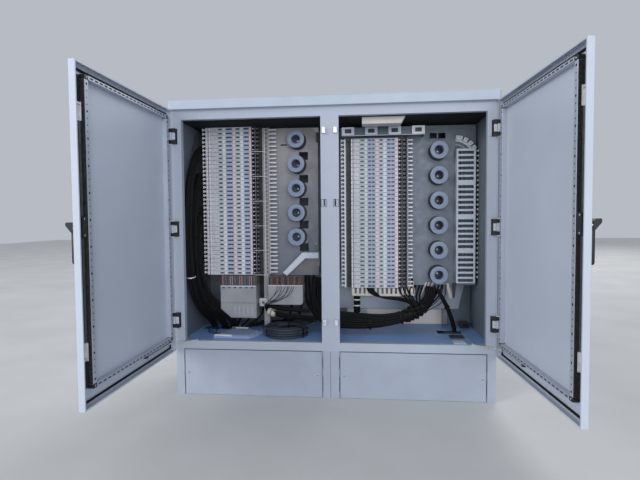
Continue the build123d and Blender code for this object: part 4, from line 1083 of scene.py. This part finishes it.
def branch_sleeve():
    """The cream sleeve where the branch cables leave the clamp."""
    kit = Kit()
    place = facing(-346, -14, 384, (1, -0.25, -0.35))
    barrel = [(14, -24), (19, -22), (21.5, -12), (22, 0), (21.5, 12), (19, 22), (14, 24)]
    kit.turned(barrel, place, "cream", 28)
    kit.turned([(22.2, -3), (23, -2.4), (23, 2.4), (22.2, 3)], place, "cream_dark", 28, closed=True)
    kit.piece("branch_sleeve", slot="cream_plastic")


def trunk_clamps():
    """Dark clamp blocks that crowd round the right trunk's rise."""
    kit = Kit()
    points = spline_points(RIGHT_TRUNK)
    for i in range(40):
        centre = min(points, key=lambda p: abs(p.x - (392 + 2.3 * i)))
        size = random.uniform(9, 14)
        place = at(*centre) @ Matrix.Rotation(0.7 + 2.3 * i, 4, "X") @ at(0, 0, 27)
        place = place @ Matrix.Rotation(random.uniform(-0.5, 0.5), 4, "Z")
        kit.prism(oblong(size, 8), place, random.uniform(10, 17), "cable", 1.5)
    kit.piece("trunk_clamps", slot="cable_black")


def entry_frame():
    """The plate around the right entry with its gasket, blank tag and screws."""
    kit = Kit()
    for x0, x1, y0, y1 in ((540, 555, -240, 60), (683, 698, -240, 60), (555, 683, 52, 60),
                           (555, 683, -240, -170)):
        kit.box(x0, x1, y0, y1, 279.8, 282.2, "entry_plate", 0.8)
    kit.box(606, 664, -236, -176, 282, 284.5, "cover_white", 0.8)
    for x in (548, 690):
        for y in (-228, -120, 0):
            kit.screw(facing(x, y, 282.2, UP), 4)
    for x0, x1, y0, y1 in ((590, 676, -12, 16), (606, 676, -120, -60)):
        kit.box(x0, x1, y0, y1, FLOOR_Z, 286, "black", 1.5)
    kit.piece("entry_frame", slot="zinc")


# Boxes under the left column and the loose cover

CABLE_ENDS = ("wire_red", "splice", "dark", "wire_brown", "cream_dark", "dark", "wire_brown", "dark",
              "splice")
RIB_COLOURS = ("dark", "wire_brown", "cream_dark", "wire_red")


def splice_boxes():
    """Two splice boxes with lids, slots and coloured cable ends on top, and the clamp between them."""
    kit = Kit()
    frame = upright(PLATE_Y)
    kit.prism([(-567, 357), (-425, 357), (-425, 536), (-627, 536), (-627, 407)], frame, 97, "splice", 2.5)
    kit.prism([(-562, 361), (-429, 361), (-429, 440), (-623, 440), (-623, 409)], upright(-46), 4,
              "splice", 1.5)
    kit.box(-625, -427, -49.8, -40, 441, 446, "splice", 1.5)
    for x in range(-545, -448, 24):
        kit.box(x - 5, x + 5, -50.5, -47, 376, 424, "comb_grey", 0.8)
        kit.box(x + 7, x + 12, -49.8, -47, 378, 422, "box", 0.3)
    kit.box(-625, -427, -30, 48, 536, 590, "cream_dark", 1)
    for x in range(-608, -447, 32):
        kit.box(x - 7, x + 7, -49.6, -44, 522, 529, "dark", 1)
    for i in range(33):
        kit.turned([(2.6, 0), (2.6, 53)], at(-622 + i * 6.0, -36 + 3 * (i % 2), 536), CABLE_ENDS[i % 9], 10)
    kit.box(-626, -426, -48, -44, 531, 536, "white", 1)
    body = [p for p in rounded(-360, -168, 433, 584, 13) if p[1] < 540] + [(-360, 541), (-168, 541)]
    body.sort(key=lambda p: math.atan2(p[1] - 500, p[0] + 264))
    kit.prism(body, frame, 96, "splice", 2.5)
    kit.box(-359, -169, -49.8, -38, 535, 540, "white", 1.2)
    kit.box(-358, -170, -20, PLATE_Y, 541, 584, "cream_dark", 1)
    for i in range(24):
        x = -354 + i * 7.8
        kit.box(x - 2.2, x + 2.2, -44, -20, 541, 583, RIB_COLOURS[i % 4], 0.8)
    for i in range(3):
        kit.turned([(4, 0), (7, 1), (7, 9), (4, 10)], facing(-421, -30 + i * 22, 430 - 22 * i, (1, 0.2, 0)),
                   "black", 14)
    kit.piece("splice_box_details", replaces="splice_boxes")
    kit = Kit()
    kit.box(-421, -372, 2, 22, 414, 458, "cover_white", 3)
    kit.box(-415, -378, -1, 3, 420, 452, "box", 1.5)
    kit.box(-404, -390, -3, 0, 430, 442, "dark", 0.8)
    kit.piece("post_clamp", slot="cream_plastic")


def floor_cover():
    """The loose cover on the floor: a shallow skewed lid with two bright edges, ribs and clip posts."""
    kit = Kit(at(-500, -112, FLOOR_Z))
    kit.prism([(-118, -92), (72, -96), (98, -60), (118, 14), (58, 60), (24, 92), (-64, 96), (-84, 30)],
              at(0, 0, 0.2), 15, "cover_blue", 2.5)
    kit.prism([(-104, -84), (66, -86), (88, -58), (106, 10), (50, 52), (18, 82), (-58, 86), (-74, 26)],
              at(0, 0, 14.5), 3.6, "cover_blue", 1.2)
    for i in range(6):
        x = -46 + i * 22
        kit.box(x - 1.5, x + 1.5, -70, 44 - 5 * i, 17.5, 19.6, "cover_blue", 0.6)
    kit.prism([(-114, -90), (-20, -94), (-22, -84), (-106, -80)], at(0, 0, 12), 9.6, "white", 1)
    kit.prism([(-66, 74), (22, 72), (24, 88), (-62, 94)], at(0, 0, 14), 7.8, "white", 1)
    kit.box(-62, -46, 64, 76, 17, 21.8, "dark", 1)
    for x, y in ((-78, -60), (76, -50), (92, 2), (-52, 40)):
        kit.turned([(5.5, 14), (5.5, 20.4), (3, 20.6), (3, 15)], at(x, y, 0), "cover_blue", 20)
    kit.piece("floor_cover", replaces="loose_cover")


# The toothed lip, the deflector, the duct and the box under the ceiling


def lip():
    """The toothed lip: a tray with rounded teeth along its front edge."""
    kit = Kit()
    for x0, x1, y0, y1, high in ((96, 436, 6, PLATE_Y, 478.2), (96, 99, 6, PLATE_Y, 520.8),
                                 (433, 436, 6, PLATE_Y, 520.8), (406, 436, 47, PLATE_Y, 554.5),
                                 (96, 436, 6, 10, 489)):
        kit.box(x0, x1, y0, y1, 475, high, "cream", 1)
    for i in range(14):
        x = 99 + i * 24.3
        outline = [(x, 487), (x + 12.5, 487), (x + 13.5, 512), (x + 11, 520), (x + 1.5, 520), (x - 1, 512)]
        kit.prism(outline, upright(10), 4, "cream", 1)
        kit.box(x + 5, x + 7.5, 6.1, 9, 489, 514, "cream_dark", 0.4)
    kit.piece("lip", replaces="wire_lip")


def tray():
    """The bent deflector by the mullion: a bright folded flange in front of a cut web painted darker as
    painted shade.
    """
    kit = Kit()
    back = upright(PLATE_Y)
    web = [(-283, 606), (-172, 716), (-84, 716), (-84, 640), (-134, 590), (-178, 604)]
    # Painted shade: the web is darker than the flange.
    kit.prism(web, back, 2, "tray_web_painted_shade")
    band = [(-283, 606), (-172, 718), (-84, 718), (-84, 684), (-158, 684), (-260, 588)]
    fold = [(-283, 606), (-172, 718), (-84, 718), (-84, 716), (-171, 716), (-281.6, 604.6)]
    for outline, frame, depth in ((band, upright(-8), 2), (fold, back, 60)):
        for corners in ((0, 1, 4, 5), (1, 2, 3, 4)):
            kit.prism([outline[i] for i in corners], frame, depth, "tray_flange")
    kit.piece("tray", replaces="wire_tray")


DUCT_X = (652, 756)
DUCT_Z = (549, 1265)
SLOT_GROUPS = 4
SLOTS = 6
FAN_DROP = 50


def duct_panel(kit):
    """The duct's folded frame, its face between the windows, and the posts in them."""
    x0, x1 = DUCT_X
    low, high = DUCT_Z
    kit.boxes("duct", 0.8, (x0, x0 + 3, 4, PLATE_Y, low, high), (x1 - 3, x1, 4, PLATE_Y, low, high))
    # Painted shade: a dark back sheet and dark posts in the windows, for the shade inside the duct.
    kit.box(x0 + 3, x1 - 3, 34, 36, low, high, "duct_painted_shade", 0.4)
    kit.boxes("duct", 0.8, (x0, x0 + 12, 4, 7, low, high), (x1 - 12, x1, 4, 7, low, high))
    slots = [high - 20 - group * 181 - index * 27.5 for group in range(SLOT_GROUPS) for index in range(SLOTS)]
    edges = [high] + [z + half for z in slots for half in (8, -8)] + [low]
    for upper, lower in zip(edges[::2], edges[1::2]):
        if upper - lower > 0.5:
            kit.box(x0 + 11, x1 - 11, 4.4, 7, max(lower, low), upper, "duct", 0.8)
    for z in slots:
        for x in (680, 704, 728):
            kit.box(x - 1, x + 1, 10, 34, z - 8, z + 8, "duct_painted_shade", 0.3)


def fan_head(kit):
    """The fan at the duct's upper left: curved bands and four white blocks round its corner."""
    frame = upright(PLATE_Y)
    centre_x, centre_z = DUCT_X[0], DUCT_Z[1] - FAN_DROP

    def arc(radius, start, steps=14):
        points = []
        for step in range(steps + 1):
            angle = math.radians(start + (88 - start) * step / steps)
            points.append((centre_x + radius * math.cos(angle), centre_z + radius * math.sin(angle)))
        return points

    # The dark bands of the fan are painted shade between its pale ones.
    for inner, outer, depth, material in ((60, 74, 6, "duct_painted_shade"), (74, 78, 10, "box"),
                                          (78, 94, 6, "duct_painted_shade"), (94, 108, 12, "cover_white")):
        ring_in = arc(inner, math.degrees(math.asin(FAN_DROP / inner)))
        ring_out = arc(outer, math.degrees(math.asin(FAN_DROP / outer)))
        for k in range(len(ring_in) - 1):
            kit.prism([ring_in[k], ring_out[k], ring_out[k + 1], ring_in[k + 1]], frame, depth, material)
    for angle in (80, 62, 46, 31):
        turn = math.radians(angle)
        place = frame @ at(centre_x + 112 * math.cos(turn), centre_z + 112 * math.sin(turn), 0)
        place = place @ Matrix.Rotation(turn, 4, "Z")
        wide = 17 if angle > 70 else 11
        kit.prism(oblong(11, wide), place, 33, "cover_white", 2)
        kit.prism([(-5, -wide + 4), (6, -wide + 4), (6, wide - 4), (-5, wide - 4)], place @ at(0, 0, 32.6), 1,
                  "box", 0.3)


def duct():
    """The slotted cable panel: a pale folded frame, windows darkened as painted shade, a fan head and the
    blocks at its right.
    """
    kit = Kit()
    low, high = DUCT_Z
    duct_panel(kit)
    fan_head(kit)
    kit.box(757, 768.5, 44, PLATE_Y, low + 20, high, "black", 0.6)
    for i in range(27):
        z = high - 12 - i * 25.8
        kit.box(757, 768.4, 12, 44, z - 1.4, z + 1.4, "cover_white", 0.4)
        kit.box(765, 768.5, 8, 30, z - 6, z + 6, "cover_white", 0.6)
        kit.box(757, 768, 30, 44, z + 3, z + 16, "black", 0.4)
    kit.piece("duct", replaces="slotted_duct")


def ceiling_cover():
    """The pale box under the ceiling with its lid line and its slanted right end."""
    kit = Kit()
    kit.prism([(158, 1372), (353, 1372), (372, 1405), (158, 1405)], upright(-110), 80, "cream_light", 2)
    kit.box(158, 353, -186, -114, 1370.4, 1372, "box", 0.5)
    kit.piece("ceiling_cover", replaces="ceiling_box")


# Doors, built as the closed right door and then set in place

FRAME_BOX = (60.0, 764.0, 295.0, 1416.0)
SHEET_Y = SKIN_Y + 1.5
FACE_Y = SKIN_Y + 24.0
HANDLE_AT = (40.0, 876.0)
PIN_Y = -290.25


def door_place(side):
    """Takes a point of the closed right door to its place on either side of the open cabinet."""
    sign = 1 if side == "right" else -1
    hinge = at(sign * HINGE_X, HINGE_Y, 0)
    swing = Matrix.Rotation(math.radians(sign * OPEN_ANGLE[side]), 4, "Z")
    return hinge @ swing @ hinge.inverted() @ Matrix.Diagonal((sign, 1, 1, 1))


def hole_mark(kit, x, y, z, radius):
    """A small punched hole drawn as a flat dark mark: painted shade of the hole's inside, seen from the
    cabinet's side of the door.
    """
    kit.turned([(radius, 0.0), (radius, 0.25), (radius * 0.8, 0.3), (radius * 0.75, 0.05)],
               facing(x, y, z, TO_BACK), "hole", 12)


def door_seal(side):
    """The thin seal line round the door's edge."""
    kit = Kit(door_place(side))
    for x0, x1, z0, z1 in ((14, 24, 246.5, 1432), (766, 775, 246.5, 1432), (24, 766, 246.5, 254.5),
                           (24, 766, 1424, 1432)):
        kit.box(x0, x1, SHEET_Y - 0.2, SHEET_Y + 7.5, z0, z1, "seal", 2)
    kit.piece(side + "_door_seal_line", side + "_door", replaces=side + "_door_seal")


def door_tubes(side):
    """The perforated tube frame."""
    kit = Kit(door_place(side))
    x0, x1, z0, z1 = FRAME_BOX
    for left in (x0, x1 - 22):
        kit.box(left, left + 22, FACE_Y - 1.5, FACE_Y, z0 + 17, z1 - 17, "tube", 0.6)
        for x in (left, left + 20.5):
            kit.box(x, x + 1.5, SHEET_Y, FACE_Y - 1, z0 + 17, z1 - 17, "tube", 0.4)
    for low in (z0, z1 - 15):
        kit.box(x0 + 24, x1 - 24, FACE_Y - 1.5, FACE_Y, low, low + 15, "tube", 0.6)
        for z in (low, low + 13.5):
            kit.box(x0 + 24, x1 - 24, SHEET_Y, FACE_Y - 1, z, z + 1.5, "tube", 0.4)
    for x in (x0 + 11, x1 - 11):
        for index in range(45):
            hole_mark(kit, x, FACE_Y, z0 + 33 + 24 * index, 2.6 if index % 4 else 4.6)
    # Slots drawn as dark marks: painted shade.
    for z in (z0 + 7.5, z1 - 7.5):
        for index in range(20):
            x = 104 + 32 * index
            kit.box(x - 10, x + 10, FACE_Y - 0.1, FACE_Y + 0.25, z - 2.6, z + 2.6, "hole", 0.1)
    kit.piece(side + "_door_tubes", side + "_door", replaces=side + "_door_tube_frame")


def door_corners(side):
    """The tube frame's four corner pieces, each with its screw."""
    kit = Kit(door_place(side))
    x0, x1, z0, z1 = FRAME_BOX
    front = FACE_Y + 0.6
    for left in (x0, x1 - 24):
        for low in (z0, z1 - 17):
            corner = rounded(left, left + 24, low, low + 17, 3, 3)
            kit.prism(corner, upright(front), front - SHEET_Y, "black", 1)
            kit.screw(facing(left + 12, front, low + 8.5, TO_BACK), 3.4)
    kit.piece(side + "_door_corners", side + "_door", replaces=side + "_door_corner_pieces")


def door_details(side):
    """Screws of the lock, the stop on the stay's rail and dark strips beside the tube frame, painted shade of
    the channel between the tube and the door's edge.
    """
    kit = Kit(door_place(side))
    for z in (850, 908):
        kit.screw(facing(40, SKIN_Y + 22, z, TO_BACK), 3.4)
    kit.box(484, 499, SKIN_Y + 3.5, SKIN_Y + 21, 279.6, 289, "black", 1.5)
    kit.box(487, 496, SKIN_Y + 7, SKIN_Y + 17, 288.5, 291, "zinc", 0.8)
    kit.piece(side + "_door_fittings", side + "_door", slot="zinc")
    kit = Kit(door_place(side))
    x0, _, z0, z1 = FRAME_BOX
    # Painted shade: a dark strip on the skin and a dark skin on the tube's outer side stand in for the shade
    # in the channel by the free edge; the first also stands for the foam there.
    for low, high in ((z0 + 4, 838), (920, z1 - 4)):
        kit.box(25, x0 - 0.8, SKIN_Y + 1.4, SKIN_Y + 4.5, low, high, "strip", 1.2)
    kit.box(x0 - 1.6, x0 - 0.1, SKIN_Y + 1.4, SKIN_Y + 23, z0 + 18, z1 - 18, "strip", 0.5)
    kit.piece(side + "_door_edge_foam", side + "_door", slot="seal")


def handle(side):
    """The swing handle: a wedge head with a bar that lifts and turns, and the back plate behind them."""
    back = SKIN_Y - 15.0
    x, z = HANDLE_AT
    across = Matrix(((0, 0, 1, 0), (1, 0, 0, 0), (0, 1, 0, 0), (0, 0, 0, 1)))
    kit = Kit(door_place(side))
    for x0, x1, inset in ((x - 14, x - 5.8, 0), (x + 5.8, x + 14, 0), (x - 5.9, x + 5.9, 3)):
        wedge = [(back - inset, z + 12), (back - 10, z + 20), (back - 24, z + 20), (back - 27, z + 17),
                 (back - 27, z + 8), (back - 2 - inset, z - 22), (back - inset, z - 22)]
        kit.prism(wedge, at(x0, 0, 0) @ across, x1 - x0, "black")
    eye = [(PIN_Y - 3.55, z - 5), (PIN_Y + 3.75, z - 5), (PIN_Y + 4.95, z), (PIN_Y + 3.75, z + 5),
           (PIN_Y - 3.55, z + 5)]
    for x0 in (x - 14, x + 6):
        kit.prism(eye, at(x0, 0, 0) @ across, 8, "black", 0.3)
    kit.prism(rounded(x - 14, x + 14, z - 127, z - 14, 6), upright(back + 8), 14, "black", 2.5)
    kit.prism(rounded(x - 8, x + 8, z - 119, z - 34, 6), upright(back - 5.6), 1.6, "black", 0.8)
    kit.turned([(2.4, 0), (2.4, 28.6), (1.2, 29)], facing(x - 14.3, PIN_Y, z, (1, 0, 0)), "zinc", 16)
    kit.piece(side + "_handle_grip", side + "_lever", replaces=side + "_handle_lever")
    kit = Kit(door_place(side))
    kit.prism(rounded(x - 17, x + 17, z - 142, z + 28, 8), upright(SKIN_Y + 0.2), 4.2, "black", 1)
    kit.screw(facing(x, SKIN_Y - 4, z - 134, TO_FRONT), 3.2)
    kit.piece(side + "_handle_plate", side + "_door", replaces=side + "_handle_base")


# The body's small fittings


def hinge_plates():
    """The bright cranked plate screwed beside the spine of each hinge block, between its eyes."""
    kit = Kit()
    for side in (-1, 1):
        for z in HINGE_Z:
            kit.box(side * 779.5, side * 794.8, -266.5, -259.8, z - 18, z + 18, "bright", 1.5)
            kit.box(side * 788, side * 794.5, -261, -252.8, z - 18, z + 18, "bright", 0.6)
            kit.turned([(3, 0), (3, 0.8), (1.6, 1.4)], facing(side * 785, -266.5, z, TO_FRONT),
                       "comb_grey", 14)
            kit.box(side * 760.8, side * 771.5, -253.8, -249.5, z - 39.5, z + 39.5, "paint", 0.9)
    kit.piece("hinge_plates", slot="zinc")


def plinth_seams(kit):
    """Thin dark lines where the plinth's covers meet its frames: painted shadow in the gaps."""
    for y in (FRONT_Y - 0.3, BACK_Y - 0.2):
        for x in (-757, -46.6, 44.6, 755):
            kit.box(x, x + 2, y, y + 0.5, 3, 234, "seam")
        for x in (-757, 45):
            kit.box(x, x + 712, y, y + 0.5, 234, 237.4, "seam")
    kit.box(-3.4, -1.8, FRONT_Y - 0.3, FRONT_Y + 0.2, 1, 237, "seam")


def body_fittings():
    """Screws of the frame, plinth, floor and plates, the latch openings' rims and small clips."""
    kit = Kit()
    for x in (-648, 648):
        kit.screw(facing(x, FRONT_Y, 1428, TO_FRONT), 5)
    for x in (-737, -66, 66, 737):
        kit.screw(facing(x, FRONT_Y, 115, TO_FRONT), 5.5)
        kit.screw(facing(x, BACK_Y, 115, TO_BACK), 5.5)
    plinth_seams(kit)
    for x in (-700, -300, 300, 700):
        kit.screw(facing(x, -225, FLOOR_Z, UP), 5)
    for x0, x1, top, low in ((-728, -90, 1405, 760), (35, 765, 1398, 700)):
        for x in (x0 + 12, x1 - 12):
            for z in (top - 14, low):
                kit.screw(facing(x, PLATE_Y, z, TO_FRONT), 4.5)
    # The latch openings' dark rims are painted shade.
    for x in (-30, 30):
        for x0, x1, z0, z1 in ((x - 14, x - 12.4, 959, 997), (x + 12.4, x + 14, 959, 997),
                               (x - 14, x + 14, 959, 960.6), (x - 14, x + 14, 995.4, 997)):
            kit.box(x0, x1, -250.6, -249, z0, z1, "hole", 0.2)
    kit.box(-294, -262, 46, PLATE_Y, 1309, 1315, "hole", 0.8)
    kit.turned([(5, 0), (5, 3), (2, 4)], facing(-292, 48, 1312, TO_FRONT), "black", 16)
    kit.box(-97, -82, 40, PLATE_Y, 1322, 1376, "black", 1)
    kit.prism([(-128, 1404), (-84, 1404), (-84, 1376)], upright(PLATE_Y), 2, "tube")
    kit.piece("body_fittings", slot="zinc")


# Stage

FLOOR_OUTLINE = ((-7, -6), (7, -6), (14, 2), (14, 18), (-14, 18), (-14, 2))
# (name, place, aim, energy, size, colour)
LIGHTS = (
    ("key", (-10.4, -8.7, 4.6), (0.3, 0, 0.85), 720, 7.0, (1.0, 0.985, 0.965)),
    ("fill", (3.0, -13.2, 2.6), (-0.1, 0, 0.8), 700, 7.0, (0.93, 0.96, 1.0)),
    ("back", (3.4, 9.6, 8.0), (0, 0, 0.8), 420, 6.0, (1, 1, 1)),
)


def add_light(name, place, aim, energy, size, colour):
    data = bpy.data.lights.new(name, "AREA")
    light = bpy.data.objects.new(name, data)
    bpy.context.collection.objects.link(light)
    light.location = place
    light.rotation_euler = (Vector(aim) - Vector(place)).to_track_quat("-Z", "Y").to_euler()
    data.energy = energy
    data.color = colour
    data.size = size


def add_stage():
    mesh = bpy.data.meshes.new("floor")
    mesh.from_pydata([(x, y, 0) for x, y in FLOOR_OUTLINE], [], [tuple(range(len(FLOOR_OUTLINE)))])
    floor = bpy.data.objects.new("floor", mesh)
    bpy.context.collection.objects.link(floor)
    s = Shader("pale_floor")
    base = s.ramp(s.noise(1.6, 6), (0.62, 0.62, 0.61), (0.70, 0.70, 0.69))
    s.bump(s.noise(60, 4), 0.1, 0.004)
    mesh.materials.append(s.finish(base, 0.75, specular=0.25))
    world = bpy.data.worlds.new("studio")
    bpy.context.scene.world = world
    world.use_nodes = True
    background = world.node_tree.nodes["Background"]
    background.inputs["Color"].default_value = (0.86, 0.91, 1.0, 1)
    background.inputs["Strength"].default_value = 0.55
    for values in LIGHTS:
        add_light(*values)
    bpy.context.scene.view_settings.view_transform = "Standard"


add_camera()
paint_nodes()
add_stage()
terminal_columns()
carriers()
combs()
spools()
ring_bar()
cables()
spare_cable()
splice_boxes()
floor_cover()
lip()
for side in SIDES:
    door_seal(side)
    door_tubes(side)
    door_corners(side)
    door_details(side)
    handle(side)
body_fittings()
hinge_plates()
tray()
duct()
ceiling_cover()
loose_wires()
rear_panels()
hanging_cables()
branch_sleeve()
trunk_clamps()
entry_frame()
